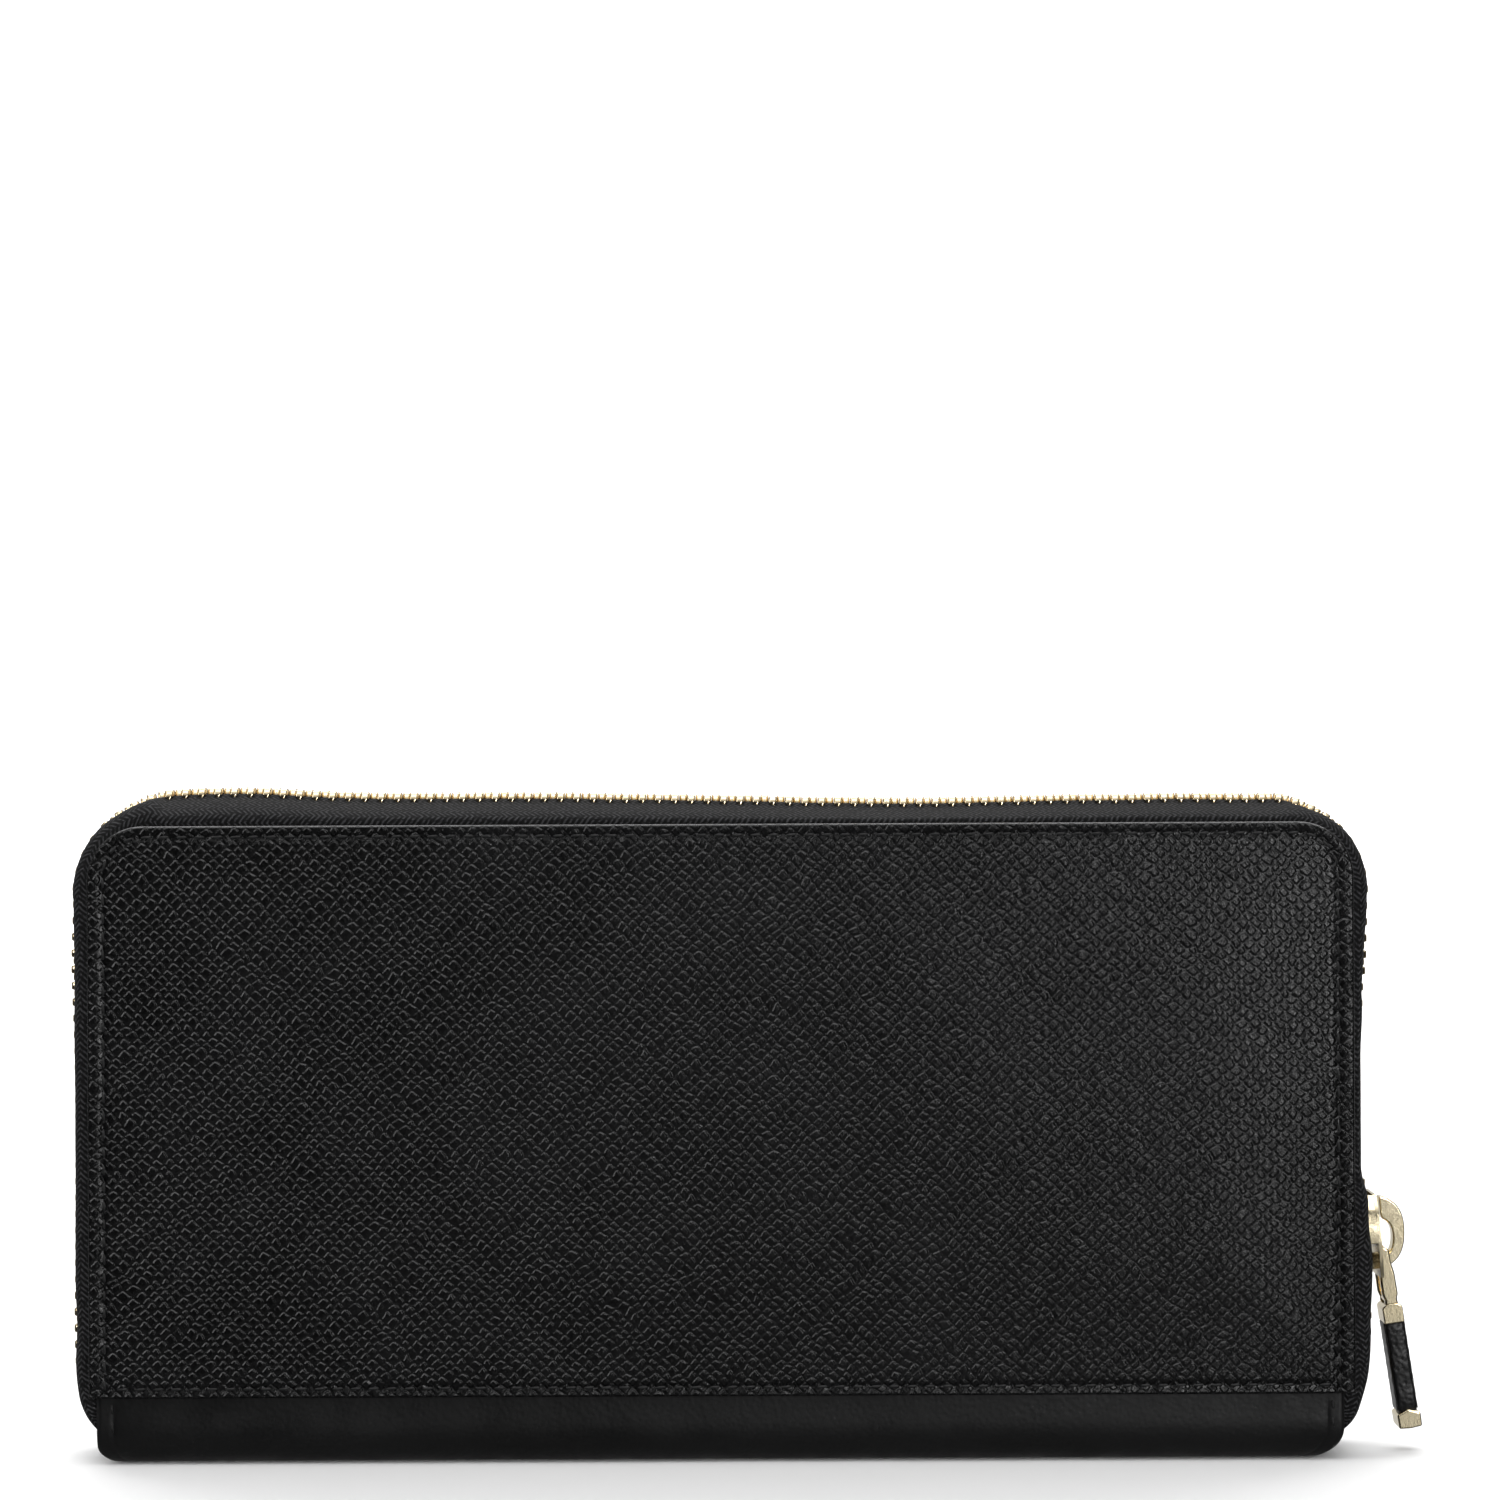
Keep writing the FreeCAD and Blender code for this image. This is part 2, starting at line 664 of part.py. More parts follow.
def make_slider_hook():
    """A crescent that stands on the outer plate and stays open at its tip."""
    body = new_body("slider_hook")
    sketch = new_sketch(body, "crescent", "XZ_Plane", "-sizes.hook_half")
    outer_centre = Vector(size("hook_outer_x"), size("hook_outer_z"), 0)
    inner_centre = Vector(size("hook_inner_x"), size("hook_inner_z"), 0)
    outer = arc_between(outer_centre, size("hook_outer_radius"), size("hook_foot"), size("hook_top"))
    inner = arc_between(inner_centre, size("hook_inner_radius"), size("hook_hole"), size("hook_tip"))
    foot_low = Vector(size("slider_outer_face"), size("hook_foot"), 0)
    foot_high = Vector(size("slider_outer_face"), size("hook_hole"), 0)
    sketch.addGeometry(outer, False)
    sketch.addGeometry(inner, False)
    sketch.addGeometry(Part.LineSegment(outer.EndPoint, inner.EndPoint), False)
    sketch.addGeometry(Part.LineSegment(inner.StartPoint, foot_high), False)
    sketch.addGeometry(Part.LineSegment(foot_high, foot_low), False)
    sketch.addGeometry(Part.LineSegment(foot_low, outer.StartPoint), False)
    joins = ((0, 2, 2, 1), (2, 2, 1, 2), (1, 1, 3, 1), (3, 2, 4, 1), (4, 2, 5, 1), (5, 2, 0, 1))
    for first, first_end, second, second_end in joins:
        sketch.addConstraint(Sketcher.Constraint("Coincident", first, first_end, second, second_end))
    bind_arc(sketch, 0, "outer", "hook_foot", "hook_top")
    bind_arc(sketch, 1, "inner", "hook_hole", "hook_tip")
    bind_point(sketch, 3, 2, "sizes.slider_outer_face", "sizes.hook_hole")
    bind_point(sketch, 4, 2, "sizes.slider_outer_face", "sizes.hook_foot")
    add_pad(body, "hook_plate", sketch, "2 * sizes.hook_half")


def hang_on_pivot(body):
    """Lean a pull piece, drawn hanging straight down from the origin, at its pivot."""
    body.setExpression("Placement.Base.x", "sizes.pivot_x")
    body.setExpression("Placement.Base.z", "sizes.pivot_z")
    body.Placement.Rotation = FreeCAD.Rotation(Vector(0, 1, 0), -size("pull_lean"))


def make_pull():
    link = new_body("pull_link")
    for name, sign in (("back", "-"), ("front", "")):
        low, high = ("-sizes.arm_outer", "-sizes.arm_inner") if sign else ("sizes.arm_inner",
                                                                           "sizes.arm_outer")
        arm = rectangle(low, "-sizes.collar_top", high, "sizes.pin_radius")
        if sign:
            pin = rectangle("-sizes.arm_outer", "-sizes.pin_radius", "sizes.arm_outer",
                            "sizes.pin_radius")
            add_prism(link, "pin", "YZ_Plane", pin, "-sizes.pin_radius", "2 * sizes.pin_radius")
            round_edges(link, "pin_round", "sizes.pin_radius - 0.01",
                        lambda middle, direction: abs(direction.y) > 0.9)
        add_prism(link, f"{name}_arm", "YZ_Plane", arm, "-sizes.pin_radius", "2 * sizes.pin_radius")
    collar = rectangle("-sizes.arm_outer", "-sizes.collar_bottom", "sizes.arm_outer",
                       "-sizes.collar_top")
    add_prism(link, "collar", "YZ_Plane", collar, "-sizes.collar_half", "2 * sizes.collar_half")

    grip = new_body("pull_grip_leather")
    outline = rectangle("-sizes.grip_depth", "-sizes.grip_bottom", "sizes.grip_depth",
                        "-sizes.collar_bottom")
    add_prism(grip, "grip_block", "YZ_Plane", outline, "-sizes.grip_half", "2 * sizes.grip_half")
    channel = rectangle("-sizes.core_depth", "-sizes.grip_bottom", "sizes.core_depth",
                        "-sizes.collar_bottom")
    add_prism(grip, "core_channel", "YZ_Plane", channel, "-sizes.core_half",
              "2 * sizes.core_half", cut=True)

    core = new_body("pull_core")
    add_prism(core, "core_bar", "YZ_Plane", channel, "-sizes.core_half", "2 * sizes.core_half")

    cap = new_body("pull_end_cap")
    gable = [
        ("-sizes.cap_half", "-sizes.cap_bottom"),
        ("sizes.cap_half", "-sizes.cap_bottom"),
        ("sizes.cap_half", "-sizes.grip_bottom - sizes.cap_peak"),
        ("0", "-sizes.grip_bottom"),
        ("-sizes.cap_half", "-sizes.grip_bottom - sizes.cap_peak"),
    ]
    add_prism(cap, "cap_block", "XZ_Plane", gable, "-sizes.arm_outer", "2 * sizes.arm_outer")
    for piece in (link, grip, core, cap):
        hang_on_pivot(piece)


# Coin slider and its pull

def make_coin_slider():
    body = new_body("coin_slider_body")
    span = "sizes.coin_slider_end - sizes.coin_slider_start"
    under_plate = "sizes.coin_slider_top - sizes.coin_slider_plate"
    channel = [
        ("-sizes.coin_slider_half", "sizes.coin_slider_lip"),
        ("sizes.coin_slider_flange - sizes.coin_slider_half", "sizes.coin_slider_lip"),
        ("sizes.coin_slider_flange - sizes.coin_slider_half", under_plate),
        ("sizes.coin_slider_half - sizes.coin_slider_flange", under_plate),
        ("sizes.coin_slider_half - sizes.coin_slider_flange", "sizes.coin_slider_lip"),
        ("sizes.coin_slider_half", "sizes.coin_slider_lip"),
        ("sizes.coin_slider_half", "sizes.coin_slider_top"),
        ("-sizes.coin_slider_half", "sizes.coin_slider_top"),
    ]
    add_prism(body, "channel", "YZ_Plane", channel, "sizes.coin_slider_start", span)
    post = rectangle("-sizes.coin_divider_half", "sizes.coin_slider_lip",
                     "sizes.coin_divider_half", under_plate)
    add_prism(body, "divider", "YZ_Plane", post, "sizes.coin_divider_start",
              "sizes.coin_divider_end - sizes.coin_divider_start")
    keel = rectangle("-sizes.coin_keel_half", "sizes.coin_slider_lip - sizes.coin_slider_plate",
                     "sizes.coin_keel_half", "sizes.coin_slider_lip")
    add_prism(body, "keel", "YZ_Plane", keel, "sizes.coin_slider_start", span)

    bridge = new_body("coin_slider_bridge")
    inner_top = "sizes.bridge_top - sizes.bridge_thickness"
    staple = [
        ("sizes.bridge_start", "sizes.coin_slider_top"),
        ("sizes.bridge_start + sizes.bridge_thickness", "sizes.coin_slider_top"),
        ("sizes.bridge_start + sizes.bridge_thickness", inner_top),
        ("sizes.bridge_end - sizes.bridge_thickness", inner_top),
        ("sizes.bridge_end - sizes.bridge_thickness", "sizes.coin_slider_top"),
        ("sizes.bridge_end", "sizes.coin_slider_top"),
        ("sizes.bridge_end", "sizes.bridge_top"),
        ("sizes.bridge_start", "sizes.bridge_top"),
    ]
    add_prism(bridge, "staple", "XZ_Plane", staple, "-sizes.bridge_half", "2 * sizes.bridge_half")


def make_coin_pull():
    """A flat tab lying along the coin zip, with a window that the bridge passes through."""
    body = new_body("coin_pull_tab")
    outline = rectangle("sizes.coin_pivot_x - sizes.tab_length", "-sizes.tab_half",
                        "sizes.coin_pivot_x + sizes.coin_pin_radius", "sizes.tab_half")
    low = "sizes.coin_pivot_z - sizes.coin_pin_radius"
    add_prism(body, "tab_plate", "XY_Plane", outline, low, "2 * sizes.coin_pin_radius")
    window = rectangle("sizes.coin_pivot_x - sizes.tab_window", "-sizes.tab_arm_inner",
                       "sizes.coin_pivot_x - sizes.coin_pin_radius", "sizes.tab_arm_inner")
    add_prism(body, "tab_window", "XY_Plane", window, low, "2 * sizes.coin_pin_radius", cut=True)
    pin_edge = size("coin_pivot_x") + size("coin_pin_radius")
    round_edges(body, "pin_round", "sizes.coin_pin_radius * 0.9",
                lambda middle, direction: abs(direction.y) > 0.9 and middle.x > pin_edge - 0.01)
    tab_end = size("coin_pivot_x") - size("tab_length")
    round_edges(body, "tab_corners", "sizes.tab_corner",
                lambda middle, direction: abs(direction.z) > 0.9 and middle.x < tab_end + 0.01)


def check_and_write():
    """Stop on any failed object, then write each sub-part to its own file."""
    document.recompute()
    for item in document.Objects:
        if "Invalid" in item.State or "Error" in item.State:
            raise RuntimeError(f"{item.Label} failed: {item.State}")
    for part in sub_parts:
        if part.Shape.isNull() or not part.Shape.isValid():
            raise RuntimeError(f"{part.Label} has no valid shape")
        part.Shape.exportStep(f"parts/{part.Label}.step")
        print(part.Label, len(part.Shape.Solids), round(part.Shape.Volume, 2))


os.makedirs("parts", exist_ok=True)
fill_sheet()
probe = document.addObject("Part::Box", "probe")
for half_name, side in (("back", -1), ("front", 1)):
    make_cover(half_name, side)
    make_card_slots(half_name, side)
    make_tape(half_name, side)
    make_teeth(half_name, side)
    make_end_stops(half_name, side)
make_spine()
make_coin_pocket()
make_coin_zip()
make_gussets()
make_slider_body()
make_slider_hook()
make_pull()
make_coin_slider()
make_coin_pull()
document.removeObject("probe")
check_and_write()
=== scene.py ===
"""Looks of the zip around wallet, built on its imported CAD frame.

Shapes are worked out in the frame's axes in millimetres, and scaled to metres when a mesh
is made. A half's depth is the distance from the middle plane, y = 0, where the zip closes.
"""
import json
import math

import bmesh
import bpy
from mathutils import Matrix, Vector, kdtree, noise


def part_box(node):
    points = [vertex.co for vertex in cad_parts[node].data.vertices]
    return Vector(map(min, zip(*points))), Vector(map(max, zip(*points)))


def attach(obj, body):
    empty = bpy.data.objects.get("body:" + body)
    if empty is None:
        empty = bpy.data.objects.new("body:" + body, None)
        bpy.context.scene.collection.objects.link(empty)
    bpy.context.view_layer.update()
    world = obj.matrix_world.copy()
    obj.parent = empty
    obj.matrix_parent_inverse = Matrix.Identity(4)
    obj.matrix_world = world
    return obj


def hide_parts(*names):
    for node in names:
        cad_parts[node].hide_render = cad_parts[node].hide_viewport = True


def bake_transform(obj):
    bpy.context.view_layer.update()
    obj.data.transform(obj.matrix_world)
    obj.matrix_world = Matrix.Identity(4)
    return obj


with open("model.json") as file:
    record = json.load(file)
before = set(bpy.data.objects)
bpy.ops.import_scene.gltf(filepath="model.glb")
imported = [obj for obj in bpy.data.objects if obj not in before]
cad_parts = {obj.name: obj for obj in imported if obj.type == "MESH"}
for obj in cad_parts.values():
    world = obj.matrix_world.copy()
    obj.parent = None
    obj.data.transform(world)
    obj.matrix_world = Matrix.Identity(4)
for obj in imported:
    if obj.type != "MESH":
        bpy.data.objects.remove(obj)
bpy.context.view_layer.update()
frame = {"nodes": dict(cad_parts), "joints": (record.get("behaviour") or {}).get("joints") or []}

MM = 0.001
SIDES = {"back": -1, "front": 1}
HANDS = {"left": -1, "right": 1}


# Sizes from the frame

def node_box(node):
    """Lowest and highest corner of a CAD node, in millimetres."""
    low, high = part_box(node)
    return low / MM, high / MM


def layer_box(node):
    """A sheet's box, and the depths of its two faces from the middle plane."""
    low, high = node_box(node)
    inner, outer = sorted((abs(low.y), abs(high.y)))
    return low, high, inner, outer


COVER_LOW, COVER_HIGH = node_box("front_cover_leather")
COVER_SIDE = COVER_HIGH.x
COVER_BOTTOM = COVER_LOW.z
COVER_TOP = COVER_HIGH.z
COVER_FACE = COVER_HIGH.y
TAPE_FACE = COVER_LOW.y
COVER_CORNER = 8.0
COVER_INNER = 10.9
COVER_RIM = 1.2
# Where the straight edges of a cover end and its corners begin
FLAT_SIDE = COVER_SIDE - COVER_CORNER
FLAT_TOP = COVER_TOP - COVER_CORNER

_, TEETH_HIGH = node_box("back_zip_teeth")
TOOTH_HALF = 1.1
CHAIN_SIDE = TEETH_HIGH.x - TOOTH_HALF
CHAIN_TOP = TEETH_HIGH.z - TOOTH_HALF
CHAIN_CORNER = 13.0
CHAIN_END = 7.0
CHAIN_BEND = 16.0
CHAIN_BEND_RADIUS = 40.0
TOOTH_PITCH = 2.4

_, SPINE_HIGH = node_box("spine_leather")
SPINE_SIDE = SPINE_HIGH.x
SPINE_FACE = SPINE_HIGH.y
SPINE_ARM = SPINE_HIGH.z

SLIDER_LOW, SLIDER_HIGH = node_box("slider_body")
PULL_LEAN = math.radians(8.6)


def joint_place(name):
    """A joint's point, in millimetres."""
    joint = [joint for joint in frame["joints"] if joint["name"] == name][0]
    return Vector(joint["pos_m"]) / MM


# Small geometry tools

def smooth(value):
    """Ease from 0 to 1 for a value between 0 and 1."""
    value = min(1.0, max(0.0, value))
    return value * value * (3 - 2 * value)


def bump(value, centre, width):
    return math.exp(-((value - centre) / width) ** 2)


def eased(value, knots):
    """A smooth curve through (place, height) knots, in order of rising place."""
    if value <= knots[0][0]:
        return knots[0][1]
    for (low, start), (high, end) in zip(knots, knots[1:]):
        if value <= high:
            return start + (end - start) * smooth((value - low) / (high - low))
    return knots[-1][1]


def spaced(low, high, count):
    """Places from low to high, in count even steps."""
    return [low + (high - low) * index / count for index in range(count + 1)]


def border_of(rows):
    """The outermost places of a grid, in order round it."""
    far_ends = [row[-1] for row in rows[1:]]
    near_ends = [row[0] for row in reversed(rows[1:-1])]
    return rows[0] + far_ends + list(reversed(rows[-1][:-1])) + near_ends


def into_corner(x, z, flat_side, flat_top):
    """Carry a point of a rectangle into its rounded top corners, past the flat parts of its edges."""
    across, up = abs(x) - flat_side, z - flat_top
    if across <= 0 or up <= 0:
        return x, z
    reach = max(across, up)
    turn = up / across if across >= up else 2 - across / up
    angle = math.pi / 4 * turn
    return math.copysign(flat_side + reach * math.cos(angle), x), flat_top + reach * math.sin(angle)


def blotch(point, scale, seed):
    """Slow random variation between about -1 and 1."""
    return noise.noise(Vector(point) / scale + Vector((seed, 2 * seed, 0)))


class Mesh:
    """Vertices and faces gathered in millimetres, with an optional UV for each vertex."""

    def __init__(self):
        self.points = []
        self.faces = []
        self.uvs = {}

    def point(self, place, uv=None):
        self.points.append(tuple(place))
        if uv is not None:
            self.uvs[len(self.points) - 1] = uv
        return len(self.points) - 1

    def strip(self, first, second, closed=False):
        """Quads between two rows of vertices of the same length."""
        count = len(first) if closed else len(first) - 1
        for index in range(count):
            after = (index + 1) % len(first)
            self.faces.append((first[index], first[after], second[after], second[index]))

    def rows(self, rows, closed=False):
        for first, second in zip(rows, rows[1:]):
            self.strip(first, second, closed)

    def tube(self, rings):
        """Closed rings of vertices joined in order, with both ends capped."""
        self.rows(rings, closed=True)
        self.faces.append(tuple(reversed(rings[0])))
        self.faces.append(tuple(rings[-1]))

    def make(self, name, material, body=None, slot=None, stands_for=()):
        """The finished object, riding on its body and standing for its CAD nodes."""
        mesh = bpy.data.meshes.new(name)
        mesh.from_pydata([Vector(place) * MM for place in self.points], [], self.faces)
        if self.uvs:
            layer = mesh.uv_layers.new(name="weave")
            for loop in mesh.loops:
                layer.data[loop.index].uv = self.uvs.get(loop.vertex_index, (0, 0))
        fix_normals(mesh)
        mesh.polygons.foreach_set("use_smooth", [True] * len(mesh.polygons))
        mesh.materials.append(material)
        piece = bpy.data.objects.new(name, mesh)
        bpy.context.scene.collection.objects.link(piece)
        return settle(piece, body, stands_for)


def fix_normals(mesh):
    """Drop faces without area and turn the others outwards."""
    edit = bmesh.new()
    edit.from_mesh(mesh)
    bmesh.ops.dissolve_degenerate(edit, dist=1e-7, edges=edit.edges[:])
    bmesh.ops.recalc_face_normals(edit, faces=edit.faces)
    edit.to_mesh(mesh)
    edit.free()


def settle(piece, body, stands_for):
    """Ride on a body and replace CAD nodes."""
    if body:
        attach(piece, body)
    if stands_for:
        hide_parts(*stands_for)
    return piece


def apply_modifiers(piece):
    """Replace the piece's mesh by what its modifiers make of it."""
    graph = bpy.context.evaluated_depsgraph_get()
    shaped = bpy.data.meshes.new_from_object(piece.evaluated_get(graph))
    piece.modifiers.clear()
    piece.data = shaped


def bevel(piece, width, segments, angle):
    """Round the sharp edges by a width in millimetres, and keep the flats flat."""
    modifier = piece.modifiers.new("round", "BEVEL")
    modifier.width = width * MM
    modifier.segments = segments
    modifier.limit_method = "ANGLE"
    modifier.angle_limit = math.radians(angle)
    modifier.harden_normals = True
    apply_modifiers(piece)


def outline_rings(mesh, sections, place):
    """Vertices of each section, given as (along, outline); place turns (across, up, along) into 3-D."""
    return [[mesh.point(place(across, up, along)) for across, up in outline] for along, outline in sections]


def add_loft(mesh, sections, place):
    """Join outlines of equal length; each section is its distance along and its outline."""
    mesh.tube(outline_rings(mesh, sections, place))


def add_prism(mesh, outline, low, high, place):
    """Carry an outline from low to high."""
    add_loft(mesh, ((low, outline), (high, outline)), place)


def add_ring(mesh, outer, inner, low, high, place):
    """A plate with one hole: both outlines have the same number of points."""
    rings = outline_rings(mesh, ((low, outer), (high, outer), (high, inner), (low, inner)), place)
    for first, second in zip(rings, rings[1:] + rings[:1]):
        mesh.strip(first, second, closed=True)


def across_x(across, up, along):
    return (along, across, up)


def across_y(across, up, along):
    return (across, along, up)


def across_z(across, up, along):
    return (across, up, along)


def rounded(corners, radius, steps=5):
    """A closed outline with each corner eased over a radius."""
    outline = []
    for before, corner, after in zip(corners[-1:] + corners[:-1], corners, corners[1:] + corners[:1]):
        before, corner, after = Vector(before), Vector(corner), Vector(after)
        first = corner + (before - corner).normalized() * radius
        last = corner + (after - corner).normalized() * radius
        for index in range(steps + 1):
            share = index / steps
            outline.append(tuple(first.lerp(corner, share).lerp(corner.lerp(last, share), share)))
    return outline


def mirrored(half):
    """A closed outline from its right half, listed from the bottom up."""
    return half + [(-across, up) for across, up in reversed(half) if across > 1e-6]


def squircle(across, up, wide, high, first, last, count, power=2.4):
    """Points on a rounded box shape between two angles in degrees."""
    points = []
    for turn in spaced(first, last, count):
        angle = math.radians(turn)
        cosine, sine = math.cos(angle), math.sin(angle)
        reach_x = math.copysign(abs(cosine) ** (2 / power), cosine)
        reach_y = math.copysign(abs(sine) ** (2 / power), sine)
        points.append((across + wide * reach_x, up + high * reach_y))
    return points


def arc(across, up, radius, first, last, count):
    """Points of a circle's arc, from one angle to another in degrees."""
    return squircle(across, up, radius, radius, first, last, count, 2.0)


# Materials

def new_material(name):
    """A material, its node tree and the place in the frame as a texture coordinate."""
    material = bpy.data.materials.new(name)
    material.use_nodes = True
    tree = material.node_tree
    return material, tree, add(tree, "ShaderNodeTexCoord").outputs["Object"]


def feed(tree, node, inputs):
    """Set a node's inputs, each to a value or to another node's output."""
    for key, value in inputs.items():
        if isinstance(value, bpy.types.NodeSocket):
            tree.links.new(value, node.inputs[key])
        else:
            node.inputs[key].default_value = value


def add(tree, kind, inputs=(), **settings):
    """A new node with its settings and its inputs."""
    node = tree.nodes.new(kind)
    for name, value in settings.items():
        setattr(node, name, value)
    feed(tree, node, dict(inputs))
    return node


def calc(tree, operation, first, second=0.0):
    return add(tree, "ShaderNodeMath", {0: first, 1: second}, operation=operation).outputs[0]


def plus(tree, first, second, share=None):
    """The sum of two values, or the first plus a share of the second."""
    return calc(tree, "ADD", first, second if share is None else times(tree, second, share))


def times(tree, first, second):
    return calc(tree, "MULTIPLY", first, second)


def remap(tree, value, low, high, new_low=0.0, new_high=1.0):
    inputs = {0: value, 1: low, 2: high, 3: new_low, 4: new_high}
    return add(tree, "ShaderNodeMapRange", inputs, interpolation_type="SMOOTHSTEP").outputs[0]


def blend_colours(tree, share, first, second):
    return add(tree, "ShaderNodeMix", {0: share, 6: first, 7: second}, data_type="RGBA").outputs[2]


def weave_place(tree):
    return add(tree, "ShaderNodeUVMap", uv_map="weave").outputs[0]


def parts_of(tree, place):
    return add(tree, "ShaderNodeSeparateXYZ", {0: place}).outputs


def channels_of(tree, colour):
    return add(tree, "ShaderNodeSeparateColor", {0: colour}).outputs


def noise_of(tree, place, scale, detail=3.0, roughness=0.5):
    inputs = {"Vector": place, "Scale": scale, "Detail": detail, "Roughness": roughness}
    return add(tree, "ShaderNodeTexNoise", inputs).outputs["Fac"]


def finished(material, height, depth, colour, roughness, specular=0.5, metallic=0.0, sheen=0.0):
    """The material with its looks, and a bump from a height; the depth is in millimetres."""
    tree = material.node_tree
    bumps = add(tree, "ShaderNodeBump", {"Height": height, "Distance": depth * MM, "Strength": 1.0})
    looks = {"Base Color": colour, "Roughness": roughness, "Specular IOR Level": specular,
             "Metallic": metallic, "Sheen Weight": sheen, "Normal": bumps.outputs[0]}
    feed(tree, tree.nodes["Principled BSDF"], looks)
    return material


GRAIN_PITCH = 1.3
GRAIN_WANDER = 1.4
BEVEL_REACH = 0.3


def rows_of(tree, place, other, wander):
    """Distance to the nearest of many uneven lines, and a random value for each band between them."""
    along = plus(tree, plus(tree, place, wander), other, 0.22)
    inputs = {"W": along, "Scale": 1.0, "Randomness": 0.55}
    edges = add(tree, "ShaderNodeTexVoronoi", inputs, voronoi_dimensions="1D", feature="DISTANCE_TO_EDGE")
    band = add(tree, "ShaderNodeTexVoronoi", inputs, voronoi_dimensions="1D", feature="F1")
    return edges.outputs["Distance"], channels_of(tree, band.outputs["Color"])[0]


def saffiano_cells(tree, place):
    """Two crossing families of diagonal grooves: 1 on a cell's flat top and 0 in a groove."""
    parts = parts_of(tree, place)
    slow = add(tree, "ShaderNodeTexNoise", {"Vector": place, "Scale": 260.0, "Detail": 2.5})
    bend = channels_of(tree, slow.outputs["Color"])
    scale = 1.0 / (GRAIN_PITCH * MM * math.sqrt(2))
    bands, squares = [0.0], []
    for number, operation in enumerate(("ADD", "SUBTRACT")):
        across = times(tree, calc(tree, operation, parts["Z"], parts["X"]), scale)
        edge, band = rows_of(tree, across, bands[-1], times(tree, bend[number], GRAIN_WANDER))
        bands.append(band)
        short = calc(tree, "MAXIMUM", calc(tree, "SUBTRACT", BEVEL_REACH, edge), 0.0)
        squares.append(calc(tree, "POWER", short, 2.0))
    reach = calc(tree, "SQRT", plus(tree, squares[0], squares[1]))
    top = remap(tree, reach, BEVEL_REACH * 0.12, BEVEL_REACH * 0.95, 1.0, 0.0)
    return top, plus(tree, times(tree, bands[1], 0.5), bands[2], 0.5)


def make_saffiano():
    """Black cross-hatch embossed leather with a hard, glossy finish; u is the way in from an edge."""
    material, tree, place = new_material("saffiano_leather")
    top, level = saffiano_cells(tree, place)
    fine = noise_of(tree, place, 2400.0, 3.0, 0.6)
    height = plus(tree, top, fine, 0.3)
    height = plus(tree, height, noise_of(tree, place, 620.0, 1.0), 0.35)
    height = plus(tree, height, level, 0.2)
    inset = parts_of(tree, weave_place(tree))["X"]
    height = times(tree, height, remap(tree, inset, 0.08, 0.32))
    # painted highlight: the grooves between the cells are painted lighter than the cell tops, standing for
    # the light their slopes catch
    painted_groove_highlight = blend_colours(tree, top, (0.0022, 0.0022, 0.0024, 1), (0.0012, 0.0012, 0.0013, 1))
    worn = remap(tree, noise_of(tree, place, 60.0, 2.0), 0.35, 0.75)
    colour = blend_colours(tree, worn, painted_groove_highlight, (0.0034, 0.0034, 0.0037, 1))
    return finished(material, height, 0.19, colour, remap(tree, fine, 0.25, 0.8, 0.17, 0.3), 0.42)


def make_plain_leather(name, dark, grain, depth, roughness):
    """Softer leather with a fine pebbled grain."""
    material, tree, place = new_material(name)
    inputs = {"Vector": place, "Scale": grain, "Randomness": 1.0}
    pores = add(tree, "ShaderNodeTexVoronoi", inputs, feature="SMOOTH_F1").outputs["Distance"]
    creases = noise_of(tree, place, grain / 9, 4.0, 0.6)
    height = plus(tree, creases, pores, 0.6)
    lighter = tuple(min(1.0, part * 1.7) for part in dark[:3]) + (1,)
    patch = noise_of(tree, place, 45.0, 2.0)
    colour = blend_colours(tree, remap(tree, patch, 0.3, 0.7), dark, lighter)
    uneven = remap(tree, creases, 0.3, 0.7, roughness - 0.07, roughness + 0.09)
    return finished(material, height, depth, colour, uneven, 0.4)


def make_thread():
    material, tree, place = new_material("waxed_thread")
    strands = noise_of(tree, place, 3800.0, 2.0)
    colour = blend_colours(tree, strands, (0.002, 0.002, 0.0022, 1), (0.009, 0.009, 0.0095, 1))
    return finished(material, strands, 0.05, colour, 0.55)


def make_edge_paint():
    """Satin black paint on cut leather edges."""
    material, tree, place = new_material("edge_paint")
    drips = noise_of(tree, place, 900.0, 2.0)
    colour = blend_colours(tree, drips, (0.004, 0.004, 0.0042, 1), (0.011, 0.011, 0.012, 1))
    return finished(material, drips, 0.03, colour, remap(tree, drips, 0.3, 0.7, 0.3, 0.42))


def make_twill(name, dark, light, rib, slant):
    """Woven tape from its UV in millimetres: ribs that lean one way, then the other, with the raised strands
    painted lighter as a painted highlight.
    """
    material, tree, place = new_material(name)
    woven = weave_place(tree)
    parts = parts_of(tree, woven)
    wander = times(tree, noise_of(tree, place, 500.0), rib * 0.7)
    fold = calc(tree, "PINGPONG", parts["Y"], slant)
    along = plus(tree, plus(tree, wander, fold, 0.65), parts["X"], 0.8)
    ribs = calc(tree, "PINGPONG", calc(tree, "DIVIDE", along, rib), 0.5)
    stretched = add(tree, "ShaderNodeVectorMath", {0: woven, 1: (0.75, 1.9, 1.0)}, operation="MULTIPLY")
    breaks = noise_of(tree, stretched.outputs[0], 1.0, 2.0)
    height = times(tree, remap(tree, ribs, 0.16, 0.46), remap(tree, breaks, 0.38, 0.56, 0.15, 1.0))
    height = plus(tree, height, noise_of(tree, place, 4200.0, 2.0), 0.12)
    # painted highlight: the colour follows the rib height, so raised strands are painted lighter than the
    # hollows
    return finished(material, height, 0.12, blend_colours(tree, height, dark, light), 0.8, 0.1)


